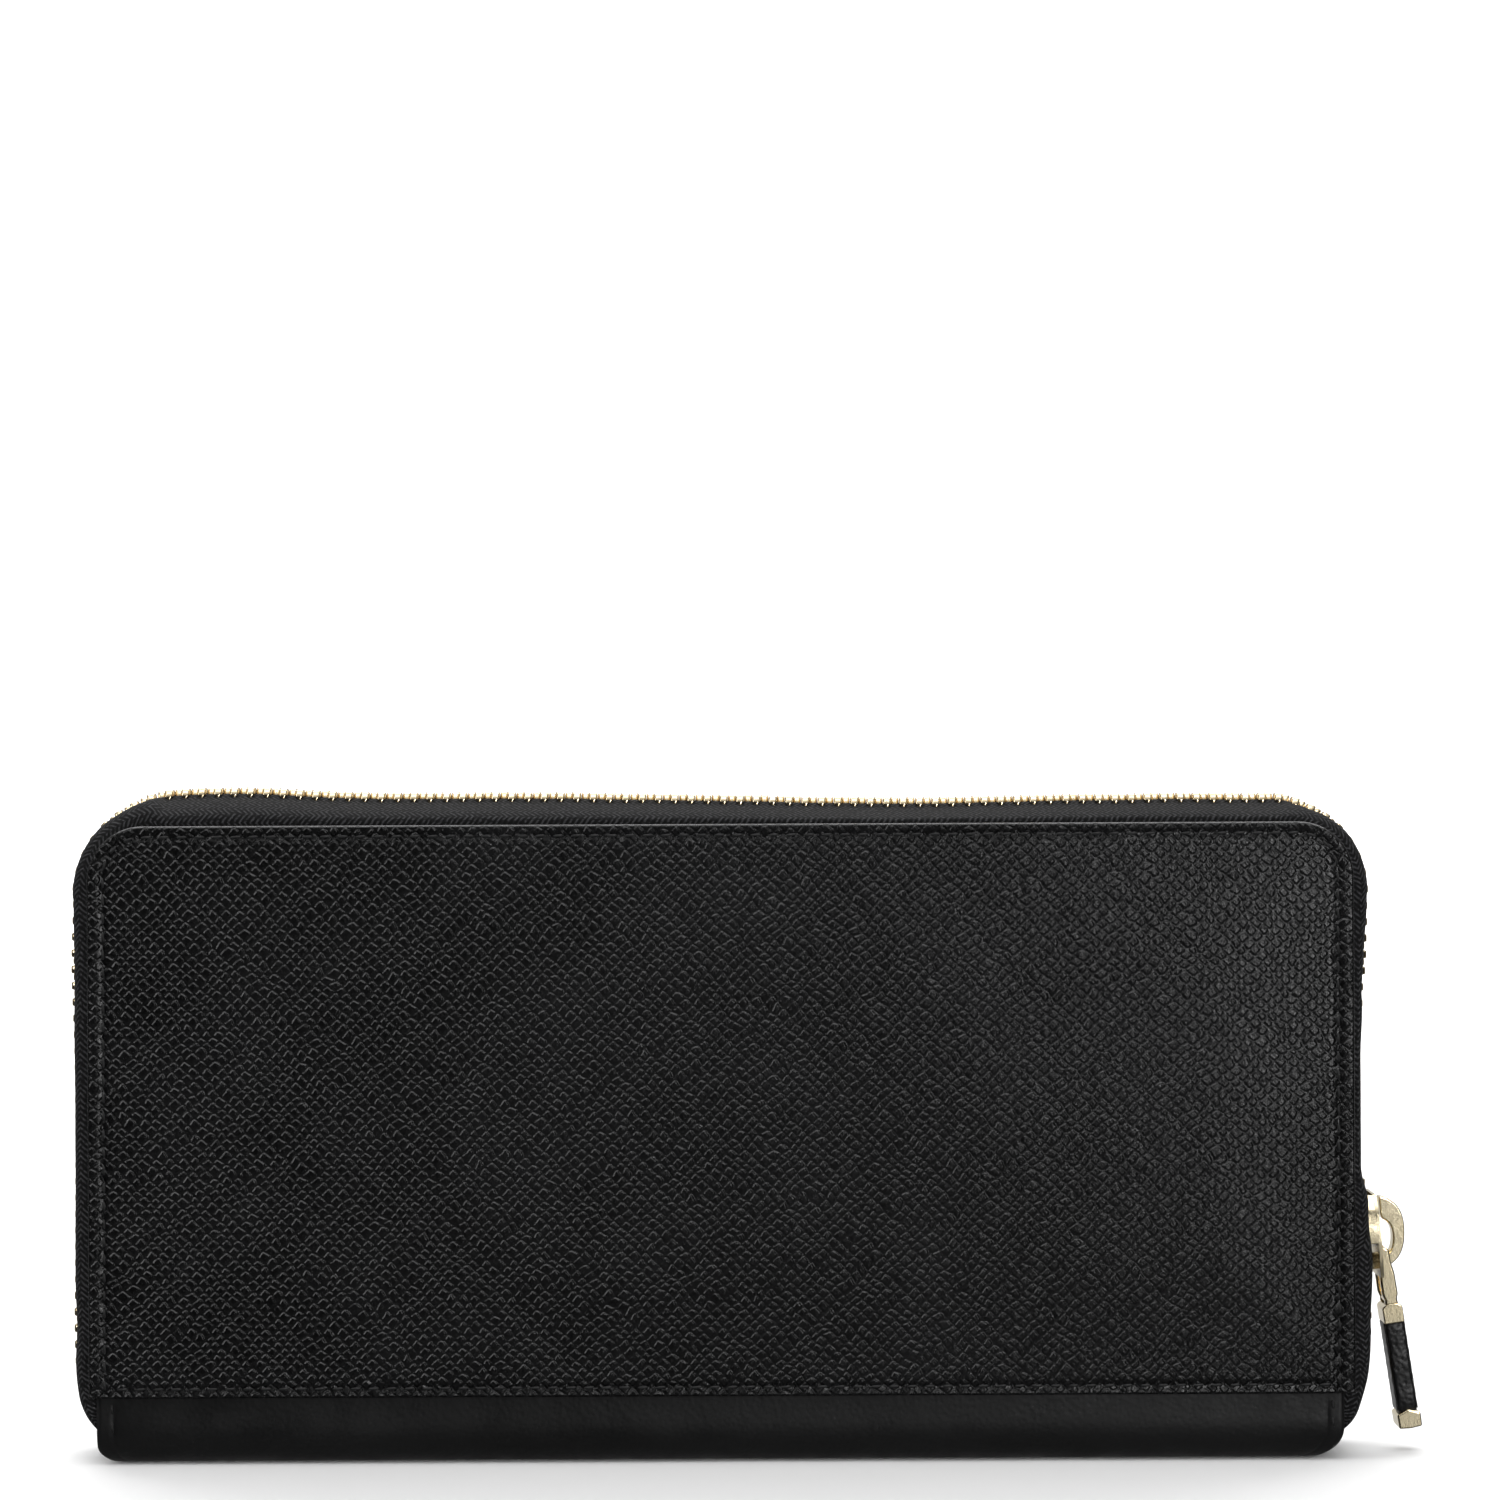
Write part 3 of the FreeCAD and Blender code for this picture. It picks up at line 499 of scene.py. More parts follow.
def make_weave(name, dark, light, pitch):
    """Fine plain-woven cloth for linings, from its place in the frame."""
    material, tree, place = new_material(name)
    parts = parts_of(tree, place)
    threads = []
    for operation in ("ADD", "SUBTRACT"):
        slanted = calc(tree, operation, parts["Z"], parts["X"])
        threads.append(calc(tree, "PINGPONG", calc(tree, "DIVIDE", slanted, pitch * MM), 0.5))
    height = plus(tree, threads[0], threads[1], 0.5)
    tone = plus(tree, times(tree, height, 0.8), noise_of(tree, place, 300.0), 0.3)
    return finished(material, height, 0.08, blend_colours(tree, tone, dark, light), 0.85, sheen=0.1)


def make_gold(name, deep, pale):
    """Pale gold plate: bright, with faint handling marks."""
    material, tree, place = new_material(name)
    marks = noise_of(tree, place, 2400.0, 4.0, 0.65)
    colour = blend_colours(tree, noise_of(tree, place, 260.0, 3.0), deep, pale)
    roughness = remap(tree, marks, 0.3, 0.75, 0.1, 0.24)
    return finished(material, marks, 0.012, colour, roughness, metallic=1.0)


def make_board():
    material, tree, place = new_material("pressed_board")
    fibres = noise_of(tree, place, 900.0, 4.0, 0.7)
    colour = blend_colours(tree, fibres, (0.2, 0.16, 0.11, 1), (0.42, 0.36, 0.28, 1))
    return finished(material, fibres, 0.05, colour, 0.9)


SAFFIANO = make_saffiano()
SPINE_SKIN = make_plain_leather("spine_skin", (0.0022, 0.0022, 0.0024, 1), 1500.0, 0.05, 0.46)
POCKET_SKIN = make_plain_leather("pocket_skin", (0.009, 0.009, 0.0095, 1), 1900.0, 0.05, 0.46)
GUSSET_SKIN = make_plain_leather("gusset_skin", (0.007, 0.007, 0.0075, 1), 2200.0, 0.06, 0.55)
GRIP_SKIN = make_plain_leather("grip_skin", (0.0035, 0.0035, 0.0038, 1), 1500.0, 0.2, 0.34)
THREAD = make_thread()
EDGE_PAINT = make_edge_paint()
TAPE_CLOTH = make_twill("tape_cloth", (0.0014, 0.0014, 0.0015, 1), (0.034, 0.034, 0.036, 1), 0.66, 1.3)
LINING_CLOTH = make_weave("lining_cloth", (0.006, 0.006, 0.007, 1), (0.028, 0.028, 0.031, 1), 0.5)
GOLD = make_gold("pale_gold", (0.88, 0.75, 0.48, 1), (0.95, 0.85, 0.62, 1))
TOOTH_GOLD = make_gold("tooth_gold", (0.6, 0.46, 0.26, 1), (0.84, 0.74, 0.54, 1))
BOARD = make_board()


# Stitching

STITCH_PITCH = 2.6
STITCH_LENGTH = 2.0
STITCH_RADIUS = 0.25
STITCH_SINK = 0.26
STITCH_SLANT = 0.09
POCKET_STITCH_HALF = 0.95
POCKET_STITCH_RADIUS = 0.2


def along_line(points, step, first):
    """Places one step apart along a polyline, each with the direction there."""
    places = []
    wait = first
    for start, end in zip(points, points[1:]):
        start, end = Vector(start), Vector(end)
        length = (end - start).length
        direction = (end - start) / length
        while wait <= length:
            places.append((start + direction * wait, direction))
            wait += step
        wait -= length
    return places


def add_stitch(mesh, start, end, out, radius):
    """One stitch: a short thread whose ends go down into the leather."""
    side = (end - start).normalized().cross(out)
    rings = []
    for share in (0.0, 0.12, 0.32, 0.68, 0.88, 1.0):
        rise = math.sin(math.pi * share)
        middle = start.lerp(end, share) + out * (radius * 0.55 * rise - STITCH_SINK * (1 - rise))
        reach = radius * (0.55 + 0.45 * rise)
        ring = []
        for index in range(8):
            angle = 2 * math.pi * index / 8
            spot = middle + side * (math.cos(angle) * reach) + out * (math.sin(angle) * reach)
            ring.append(mesh.point(spot))
        rings.append(ring)
    mesh.tube(rings)


def sew(mesh, line, height, side, facing=1, half=STITCH_LENGTH / 2, slant=STITCH_SLANT,
        radius=STITCH_RADIUS):
    """Stitches along a line in the (x, z) plane, on the surface whose depth height() gives.

    They face away from the middle plane, or towards it if facing is -1.
    """
    for place, direction in along_line(line, STITCH_PITCH, STITCH_PITCH / 2):
        lean = Vector((-direction.y, direction.x)) * slant
        ends = []
        for sign in (-1, 1):
            spot = place + (direction + lean) * (sign * half)
            ends.append(Vector((spot.x, side * height(spot.x, spot.y), spot.y)))
        add_stitch(mesh, ends[0], ends[1], Vector((0, side * facing, 0)), radius)


def sew_pocket(mesh, line, height, side, facing):
    """Finer, straight stitches for the sheets inside."""
    sew(mesh, line, height, side, facing, POCKET_STITCH_HALF, 0.0, POCKET_STITCH_RADIUS)


# Cover panels

SEAM_TOP = 1.6
SEAM_SIDE = 2.3
SEAM_BOTTOM = 1.3
EDGE_ROLL = 0.28
EDGE_STEPS = [0.0, 0.04, 0.1, 0.18, 0.28, 0.5, 0.85, 1.15, 1.35, 1.6, 1.85, 2.1, 2.3, 2.55, 2.8, 3.2]


def seam_outline():
    """Seam of a cover: up one side, over the top and down the other."""
    half, top = COVER_SIDE - SEAM_SIDE, COVER_TOP - SEAM_TOP
    radius = COVER_CORNER - SEAM_SIDE
    start = COVER_BOTTOM + 0.6
    left = arc(-half + radius, top - radius, radius, 180, 90, 12)
    right = arc(half - radius, top - radius, radius, 90, 0, 12)
    return [(-half, start)] + left + right + [(half, start)]


def bottom_seam():
    half = COVER_SIDE - SEAM_SIDE - STITCH_PITCH / 2
    up = COVER_BOTTOM + SEAM_BOTTOM
    return [(-half, up), (half, up)]


def near_tree(lines, step, first):
    """A search tree of places along several lines."""
    places = [place for line in lines for place, _ in along_line(line, step, first)]
    tree = kdtree.KDTree(len(places))
    for index, place in enumerate(places):
        tree.insert((place.x, place.y, 0), index)
    tree.balance()
    return tree


SEAMS = [seam_outline(), bottom_seam()]
SEAM_TREE = near_tree(SEAMS, 0.2, 0.0)
HOLE_TREE = near_tree(SEAMS, STITCH_PITCH, 0.0)


def cover_edge(x, z):
    """Distance of a point of the cover from its edge."""
    across, up = abs(x) - FLAT_SIDE, z - FLAT_TOP
    if across > 0 and up > 0:
        return COVER_CORNER - math.hypot(across, up)
    return min(COVER_SIDE - abs(x), COVER_TOP - z, z - COVER_BOTTOM)


def cover_depth(x, z):
    """Depth of the cover's face: turned edge, sewn groove and a slight padding."""
    inset = max(0.0, cover_edge(x, z))
    depth = COVER_FACE
    if inset < EDGE_ROLL:
        depth -= EDGE_ROLL - math.sqrt(EDGE_ROLL ** 2 - (EDGE_ROLL - inset) ** 2)
    _, _, seam = SEAM_TREE.find((x, z, 0))
    _, _, hole = HOLE_TREE.find((x, z, 0))
    depth -= 0.2 * bump(seam, 0, 0.6) + 0.22 * bump(hole, 0, 0.45)
    swell = smooth((inset - 2.5) / 20)
    depth += 0.35 * swell + 0.12 * swell * blotch((x, 0, z), 34, 3)
    return depth


def stations(low, high, step):
    """Places from low to high, close together near both ends."""
    first = [low + inset for inset in EDGE_STEPS]
    last = [high - inset for inset in reversed(EDGE_STEPS)]
    count = round((last[0] - first[-1]) / step)
    return first + [first[-1] + (last[0] - first[-1]) * index / count for index in range(1, count)] + last


def outward(x, z):
    """Direction out of the cover's edge at a point on it."""
    across, up = abs(x) - FLAT_SIDE, z - FLAT_TOP
    if across > 0 and up > 0:
        return Vector((math.copysign(across, x), up)).normalized()
    direction = Vector((0.0, 0.0))
    if COVER_SIDE - abs(x) < 1e-4:
        direction.x = math.copysign(1, x)
    if z - COVER_BOTTOM < 1e-4:
        direction.y = -1
    if COVER_TOP - z < 1e-4:
        direction.y = 1
    return direction


def make_cover(half_name, side):
    """Leather over the board, turned in round the edge, open at the bottom for the spine."""
    mesh = Mesh()
    step = STITCH_PITCH / 4
    rows = []
    for z in stations(COVER_BOTTOM, COVER_TOP, step):
        row = []
        for x in stations(-COVER_SIDE, COVER_SIDE, step):
            new_x, new_z = into_corner(x, z, FLAT_SIDE, FLAT_TOP)
            spot = (new_x, side * cover_depth(new_x, new_z), new_z)
            row.append(mesh.point(spot, (max(0.0, cover_edge(new_x, new_z)), 0.0)))
        rows.append(row)
    mesh.rows(rows)
    previous = border_of(rows)
    spots = [mesh.points[index] for index in previous]
    for inset, depth in ((0.0, TAPE_FACE + 0.3), (0.25, TAPE_FACE + 0.02), (COVER_RIM, TAPE_FACE + 0.02),
                         (COVER_RIM, COVER_INNER)):
        ring = []
        for x, _, z in spots:
            out = outward(x, z)
            level = depth
            if z - COVER_BOTTOM < COVER_RIM and abs(x) < COVER_SIDE - 1e-4:
                level = max(depth, COVER_INNER)
            ring.append(mesh.point((x - out.x * inset, side * level, z - out.y * inset)))
        mesh.strip(previous, ring, closed=True)
        previous = ring
    mesh.faces.append(tuple(previous))
    mesh.make(f"{half_name}_cover", SAFFIANO, f"{half_name}_half", "embossed_leather",
              [f"{half_name}_cover_leather"])
    seams = Mesh()
    for line in SEAMS:
        sew(seams, line, cover_depth, side)
    seams.make(f"{half_name}_cover_stitches", THREAD, f"{half_name}_half", "embossed_leather")


# Spine

SPINE_BEND = 5.0
SPINE_DROP = 6.0
SPINE_END_RADII = {-1: 2.6, 1: 4.8}
SPINE_SKIN_THICKNESS = 0.8
SPINE_TURN_IN = 2.5
SPINE_OVERHANG = 0.6


def spine_section(face, bottom, arm):
    """Depth and height from the middle of the floor to the top of one arm, and normals."""
    flat = face - SPINE_BEND
    points = [(flat * index / 6, bottom, 0.0, -1.0) for index in range(7)]
    for index in range(1, 13):
        angle = math.pi / 2 * index / 12
        across, up = math.sin(angle), math.cos(angle)
        drop = SPINE_DROP - bottom
        points.append((flat + SPINE_BEND * across, bottom + drop * (1 - up), across, -up))
    for index in range(1, 9):
        points.append((face, SPINE_DROP + (arm - SPINE_DROP) * index / 8, 1.0, 0.0))
    return points


def spine_half_width(half, z, hand):
    """The ends of the spine are rounded off below, the right one more than the left."""
    radius = SPINE_END_RADII[hand]
    if z >= radius:
        return half
    return half - radius + math.sqrt(radius ** 2 - (radius - z) ** 2)


def make_spine_half(name, half_name, side, half, face, thickness, bottom, arm, material, slot):
    """One half of a channel that bends between the floor and a cover."""
    mesh = Mesh()
    section = spine_section(face, bottom, arm)
    across = stations(-half, half, 2.0)
    outer, inner = [], []
    for depth, z, out_depth, out_z in section:
        widths = {hand: spine_half_width(half, z, hand) / half for hand in HANDS.values()}
        outer_row, inner_row = [], []
        for x in across:
            end = smooth((half - abs(x)) / 0.5)
            turn = 0.14 * bump(half - abs(x), SPINE_TURN_IN, 0.3) * smooth((SPINE_ARM - 5 - z) / 1.5)
            wave = 0.16 * blotch((x, depth, z), 16, 5) * smooth((half - abs(x)) / 6)
            lift = (wave - turn) * out_depth - (1 - end) * 0.3
            reach = x * widths[-1 if x < 0 else 1] - (SPINE_OVERHANG if x < 0 else 0.0) * smooth(-x / half)
            spot = (reach, side * (depth + out_depth * lift), z + out_z * min(0, lift))
            outer_row.append(mesh.point(spot))
            deep = thickness * (1 - 0.3 * (1 - end))
            inner_row.append(mesh.point((reach, side * (depth - out_depth * deep), z - out_z * deep)))
        outer.append(outer_row)
        inner.append(inner_row)
    mesh.rows(outer)
    mesh.rows([list(reversed(row)) for row in inner])
    mesh.strip(outer[-1], inner[-1])
    mesh.strip(inner[0], outer[0])
    mesh.strip([row[0] for row in inner], [row[0] for row in outer])
    mesh.strip([row[-1] for row in outer], [row[-1] for row in inner])
    bend_with_cover(mesh.make(f"{name}_{half_name}", material, None, slot, [name]))


def bend_with_cover(piece):
    """Bake a piece's placement into its mesh."""
    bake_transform(piece)


def make_spine():
    lining_low, lining_high = node_box("spine_lining")
    for half_name, side in SIDES.items():
        make_spine_half("spine_leather", half_name, side, SPINE_SIDE, SPINE_FACE,
                        SPINE_SKIN_THICKNESS, 0.0, SPINE_ARM, SPINE_SKIN, "smooth_leather")
        make_spine_half("spine_lining", half_name, side, lining_high.x, lining_high.y, 0.5,
                        lining_low.z, lining_high.z, LINING_CLOTH, "lining_fabric")
        stitches = Mesh()
        for hand in HANDS.values():
            x = hand * (SPINE_SIDE - 1.7)
            sew(stitches, [(x, COVER_BOTTOM - 0.4), (x, COVER_BOTTOM - 0.4 - 2 * STITCH_PITCH)],
                lambda across, up: SPINE_FACE - 0.12 - 0.35 * max(0.0, SPINE_DROP - up) ** 2 / 10, side)
        piece = stitches.make(f"spine_stitches_{half_name}", THREAD, None, "smooth_leather")
        bend_with_cover(piece)


# Main zip: path of the chain

def chain_segments():
    """Lines and arcs of the chain's centre line, from the left end to the right end."""
    bend = math.asin((CHAIN_BEND - CHAIN_END) / CHAIN_BEND_RADIUS)
    low = CHAIN_BEND
    high = CHAIN_TOP - CHAIN_CORNER
    reach = CHAIN_SIDE - CHAIN_CORNER
    quarter = math.pi / 2
    centre = CHAIN_SIDE - CHAIN_BEND_RADIUS
    return [
        ("arc", (-centre, low), CHAIN_BEND_RADIUS, math.pi + bend, math.pi),
        ("line", (-CHAIN_SIDE, low), (-CHAIN_SIDE, high)),
        ("arc", (-reach, high), CHAIN_CORNER, math.pi, quarter),
        ("line", (-reach, CHAIN_TOP), (reach, CHAIN_TOP)),
        ("arc", (reach, high), CHAIN_CORNER, quarter, 0.0),
        ("line", (CHAIN_SIDE, high), (CHAIN_SIDE, low)),
        ("arc", (centre, low), CHAIN_BEND_RADIUS, 0.0, -bend),
    ]


def segment_length(segment):
    if segment[0] == "line":
        return (Vector(segment[2]) - Vector(segment[1])).length
    return segment[2] * abs(segment[4] - segment[3])


CHAIN = chain_segments()
CHAIN_LENGTH = sum(segment_length(segment) for segment in CHAIN)
TAIL_RADIUS = 6.0
TAIL_TURN = math.radians(62)
TAIL_LENGTH = TAIL_RADIUS * TAIL_TURN


def segment_at(segment, distance):
    """Point (x, z) and outward direction on one segment of the chain."""
    share = distance / segment_length(segment)
    if segment[0] == "line":
        start, end = Vector(segment[1]), Vector(segment[2])
        along = (end - start).normalized()
        return start.lerp(end, share), Vector((-along.y, along.x))
    centre, radius, first, last = segment[1:]
    angle = first + (last - first) * share
    out = Vector((math.cos(angle), math.sin(angle)))
    return Vector(centre) + out * radius, out


def tail_at(beyond, end, out, hand):
    """The tapes run on past the teeth and curl in under the ends of the spine."""
    angle = math.atan2(out.y, out.x) - hand * beyond / TAIL_RADIUS
    new_out = Vector((math.cos(angle), math.sin(angle)))
    return end + (new_out - out) * TAIL_RADIUS, new_out


def chain_at(distance):
    """Point (x, z) of the chain's centre line and its outward direction."""
    if distance < 0:
        return tail_at(-distance, *segment_at(CHAIN[0], 0.0), -1)
    if distance > CHAIN_LENGTH:
        last = CHAIN[-1]
        return tail_at(distance - CHAIN_LENGTH, *segment_at(last, segment_length(last)), 1)
    for segment in CHAIN:
        length = segment_length(segment)
        if distance <= length or segment is CHAIN[-1]:
            return segment_at(segment, min(distance, length))
        distance -= length


def chain_rise(spot):
    """How far the chain stands proud of its even path."""
    rise = 0.0
    if spot.y > CHAIN_TOP - CHAIN_CORNER:
        rise += 1.3 * bump(spot.x, -73, 16) + 0.5 * bump(spot.x, -35, 28)
        rise -= 0.1 * bump(spot.x, 78, 8) + 0.5 * bump(spot.x, 28, 22)
        rise += 0.1 * blotch((spot.x, 0, 0), 9, 8)
    elif spot.x < 0:
        rise += 0.35 * bump(spot.y, 72, 8) + 0.1 * bump(spot.y, 20, 5)
        rise -= 0.12 * bump(spot.y, 48, 14) + 0.9 * smooth((9.5 - spot.y) / 5)
    else:
        rise += eased(spot.y, RIGHT_SIDE_RISE)
    return rise


RIGHT_SIDE_RISE = [(5.0, -1.1), (13.0, -0.45), (20.0, -0.15), (37.0, -0.1), (42.5, -1.35), (58.0, -1.35),
                   (67.0, -0.85), (73.0, -0.3), (80.0, -0.1)]


def mouth_shift(spot):
    """How far each row stands off the middle plane, under the slider."""
    if spot.x < 0:
        return 0.0
    return eased(spot.y, [(4.0, 1.0), (8.0, 1.4), (19.0, 2.6), (28.5, 2.5), (35.0, 0.0)])


# Main zip: tape

TAPE_THICKNESS = 0.55
TAPE_FLANGE = 3.6
TAPE_REACH = 12
MOUTH_OPEN = 2.6
# On each hand, how far the tape's shoulder swells by how far the corner has turned
SWELL = {-1: [(0.0, -1.1), (0.09, 0.35), (0.31, 0.45), (0.5, 0.7), (1.0, 0.45)],
         1: [(0.0, -1.1), (0.25, -0.05), (0.38, 0.45), (0.55, 0.75), (1.0, 0.5)]}


def corner_turn(spot, out):
    """0 along the top, 1 down the sides and between the two round a corner."""
    if spot.y < CHAIN_TOP - CHAIN_CORNER:
        return 1.0
    return abs(math.atan2(out.x, out.y)) / (math.pi / 2)


def top_share(spot, out):
    """1 along the top, fading to 0 in the corners."""
    return 1 - smooth(corner_turn(spot, out) / 0.3)


def tape_swell(spot, out):
    """How far the tape's shoulder stands proud beside the teeth."""
    swell = eased(corner_turn(spot, out), SWELL[1 if spot.x > 0 else -1])
    if spot.y < CHAIN_TOP - CHAIN_CORNER:
        swell -= 0.5 * bump(spot.y, 72, 6) + 0.4 * bump(spot.y, 20, 4)
    return swell


def tape_line(distance):
    """Cross-section of the tape as (depth, proud) points from the teeth to the cover's edge."""
    spot, out = chain_at(distance)
    tail = smooth(max(-distance, distance - CHAIN_LENGTH) / TAIL_LENGTH)
    shift = mouth_shift(spot)
    rise = chain_rise(spot)
    open_share = shift / MOUTH_OPEN
    edge = (1.6 + shift, 0.05 + rise + 0.35 * open_share + 0.4 * top_share(spot, out))
    swell = tape_swell(spot, out) + 0.25 * open_share * (1 - tail)
    ripple = 0.1 * blotch((distance, 0, 0), 9, 4)
    rim = (TAPE_FACE - 0.3, -2.3 + ripple - 0.8 * tail)
    flange = (TAPE_FACE - 0.3 - 0.5 * tail, -2.3 - TAPE_FLANGE * (1 - 0.8 * tail))
    handles = ((edge[0] + 2.0, edge[1] + swell * 0.9), (TAPE_FACE - 0.2, rise + swell * 1.25 + ripple))
    points = []
    for index in range(TAPE_REACH + 1):
        share = index / TAPE_REACH
        keep = 1 - share
        weights = (keep ** 3, 3 * keep * keep * share, 3 * keep * share * share, share ** 3)
        corners = (edge, handles[0], handles[1], rim)
        points.append(tuple(sum(w * c[k] for w, c in zip(weights, corners)) for k in (0, 1)))
    points.append((flange[0], (rim[1] + flange[1]) / 2))
    points.append(flange)
    return points


def place_on_chain(distance, depth, proud, side):
    spot, out = chain_at(distance)
    return (spot.x + out.x * proud, side * depth, spot.y + out.y * proud)


def make_tape(half_name, side):
    """Closed band of cloth from the teeth over the shoulder and down inside the cover."""
    mesh = Mesh()
    whole = CHAIN_LENGTH + 2 * TAIL_LENGTH
    count = round(whole / (TOOTH_PITCH / 3))
    rings = []
    for index in range(count + 1):
        distance = whole * index / count - TAIL_LENGTH
        line = tape_line(distance)
        upper, lower, across = [], [], 0.0
        for number, (depth, proud) in enumerate(line):
            before, after = line[max(0, number - 1)], line[min(len(line) - 1, number + 1)]
            along = Vector((after[0] - before[0], after[1] - before[1])).normalized()
            if number:
                across += math.dist(line[number - 1], line[number])
            normal = Vector((-along.y, along.x)) * (TAPE_THICKNESS / 2)
            uv = (distance, across)
            place = place_on_chain(distance, depth + normal.x, proud + normal.y, side)
            upper.append(mesh.point(place, uv))
            place = place_on_chain(distance, depth - normal.x, proud - normal.y, side)
            lower.append(mesh.point(place, uv))
        rings.append(upper + list(reversed(lower)))
    mesh.tube(rings)
    mesh.make(f"{half_name}_tape", TAPE_CLOTH, f"{half_name}_half", "zip_tape", [f"{half_name}_zip_tape"])


# Main zip: teeth

# Outline of a tooth seen from above, as (reach from the middle plane, half width)
TOOTH_SHAPE = [(0.95, 0.0), (0.92, 0.24), (0.72, 0.48), (0.35, 0.58), (0.0, 0.52), (-0.35, 0.47),
               (-0.7, 0.54), (-1.0, 0.6), (-2.45, 0.6), (-2.75, 0.5), (-2.85, 0.3)]
TOOTH_MIDDLE = -0.95
# Height of a tooth, with how wide and how long it is there: a broad top on narrower legs
TOOTH_LEVELS = [(-1.1, 0.5, 0.95), (-0.95, 0.58, 1.06), (-0.1, 0.56, 1.06), (0.08, 0.95, 1.05),
                (0.2, 1.0, 1.03), (0.4, 1.0, 0.985), (0.6, 1.0, 0.93), (0.8, 0.98, 0.86), (0.95, 0.95, 0.79),
                (1.05, 0.89, 0.71), (1.12, 0.78, 0.62)]


def both_halves(shape):
    """A tooth's outline from one half of it, listed from the tip back."""
    return shape + [(reach, -wide) for reach, wide in reversed(shape[1:])]


def add_tooth(mesh, distance, side, shift, proud):
    """A tooth: clamped on the tape's edge, with a rounded head across the middle plane."""
    spot, out = chain_at(distance)
    along = Vector((-out.y, out.x))
    rings = []
    for level, broad, long in TOOTH_LEVELS:
        ring = []
        for reach, wide in both_halves(TOOTH_SHAPE):
            depth = shift - (TOOTH_MIDDLE + (reach - TOOTH_MIDDLE) * long)
            place = spot + out * (level + proud) + along * (wide * broad)
            ring.append(mesh.point((place.x, side * depth, place.y)))
        rings.append(ring)
    mesh.tube(rings)


def tooth_rise(distance):
    """Along the top the teeth ride a little above the tape's edge."""
    spot, out = chain_at(distance)
    return chain_rise(spot) + 0.52 * top_share(spot, out)


def make_teeth(half_name, side):
    mesh = Mesh()
    distance = TOOTH_PITCH * (1.0 if side < 0 else 1.5)
    while distance < CHAIN_LENGTH - TOOTH_PITCH:
        spot, _ = chain_at(distance)
        add_tooth(mesh, distance, side, mouth_shift(spot), tooth_rise(distance))
        distance += TOOTH_PITCH
    mesh.make(f"{half_name}_teeth", TOOTH_GOLD, f"{half_name}_half", "gold_metal", [f"{half_name}_zip_teeth"])


def make_end_stops(half_name, side):
    """A pressed clamp at each end of the row."""
    mesh = Mesh()
    for distance in (0.9, CHAIN_LENGTH - 0.9):
        spot, out = chain_at(distance)
        along = Vector((-out.y, out.x))
        shift = mouth_shift(spot)
        rings = []
        for reach, scale in ((0.3, 0.7), (0.45, 0.95), (1.5, 1.05), (2.6, 0.98), (2.8, 0.7)):
            ring = []
            for across, up in squircle(0, 0, 0.62 * scale, 1.05 * scale, 0, 345, 23, 3.0):
                place = spot + out * (up + chain_rise(spot)) + along * across
                ring.append(mesh.point((place.x, side * (shift + reach), place.y)))
            rings.append(ring)
        mesh.tube(rings)
    mesh.make(f"{half_name}_end_stops", GOLD, f"{half_name}_half", "gold_metal",
              [f"{half_name}_zip_end_stops"])


# Main slider, its hook and its pull

SLIDER_SLANT = 0.075
SLIDER_MIDDLE = (SLIDER_LOW.z + SLIDER_HIGH.z) / 2
PLATE_THICKNESS = 0.5
FLANGE_FOOT = 31.0


def on_slider(across, up, along):
    """The slider leans out a little towards its mouth."""
    return (along + SLIDER_SLANT * (SLIDER_MIDDLE - up), across, up)


def slider_outline():
    """Plan of a slider plate: broad at the shoulder, narrower at the nose."""
    right = [(6.0, SLIDER_LOW.z), (6.45, 28.6), (6.7, 31.0), (6.55, 33.4), (5.9, 35.8), (4.5, SLIDER_HIGH.z)]
    return rounded(mirrored(right), 0.55, 4)


def make_metal(mesh, name, body, nodes, width, segments=3, angle=30):
    """A gold piece with its sharp edges rounded."""
    bevel(mesh.make(name, GOLD, body, "gold_metal", nodes), width, segments, angle)


def make_slider():
    mesh = Mesh()
    outer, inner = SLIDER_HIGH.x, SLIDER_LOW.x
    for low, high in ((outer - PLATE_THICKNESS, outer), (inner, inner + PLATE_THICKNESS)):
        add_prism(mesh, slider_outline(), low, high, on_slider)
    under_outer, over_inner = outer - PLATE_THICKNESS + 0.05, inner + PLATE_THICKNESS - 0.05
    for hand in HANDS.values():
        for low, high in ((outer - 2.0, under_outer), (over_inner, inner + 1.3)):
            wall = [(6.6, FLANGE_FOOT), (6.45, 33.4), (5.78, 35.8), (4.38, SLIDER_HIGH.z - 0.15)]
            inside = [(wide - 0.8, up) for wide, up in reversed(wall)]
            outline = [(hand * wide, up) for wide, up in wall + inside]
            add_prism(mesh, rounded(outline, 0.2, 3), low, high, on_slider)
    nose = squircle(0, 27.75, 0.8, 1.25, 0, 350, 24, 2.0)
    add_prism(mesh, nose, over_inner, under_outer, on_slider)
    make_metal(mesh, "slider_shell", "main_slider", ["slider_body"], 0.16)


def make_hook():
    """An open hook: broad blunt tip, long round back and an oval eye for the pull."""
    low, high = node_box("slider_hook")
    half = (high.y - low.y) / 2
    root = SLIDER_HIGH.x - 0.2
    back = squircle(95.9, 32.1, 4.7, 5.35, -86, 82, 34)
    eye = squircle(96.6, 31.25, 2.25, 2.85, 76, -88, 26)
    outline = [(root, 26.9)] + back + [(97.0, 34.8)] + eye + [(root, 28.4)]
    mesh = Mesh()
    add_prism(mesh, outline, -half, half, across_y)
    make_metal(mesh, "hook", "main_slider", ["slider_hook"], 0.42, 4, 50)


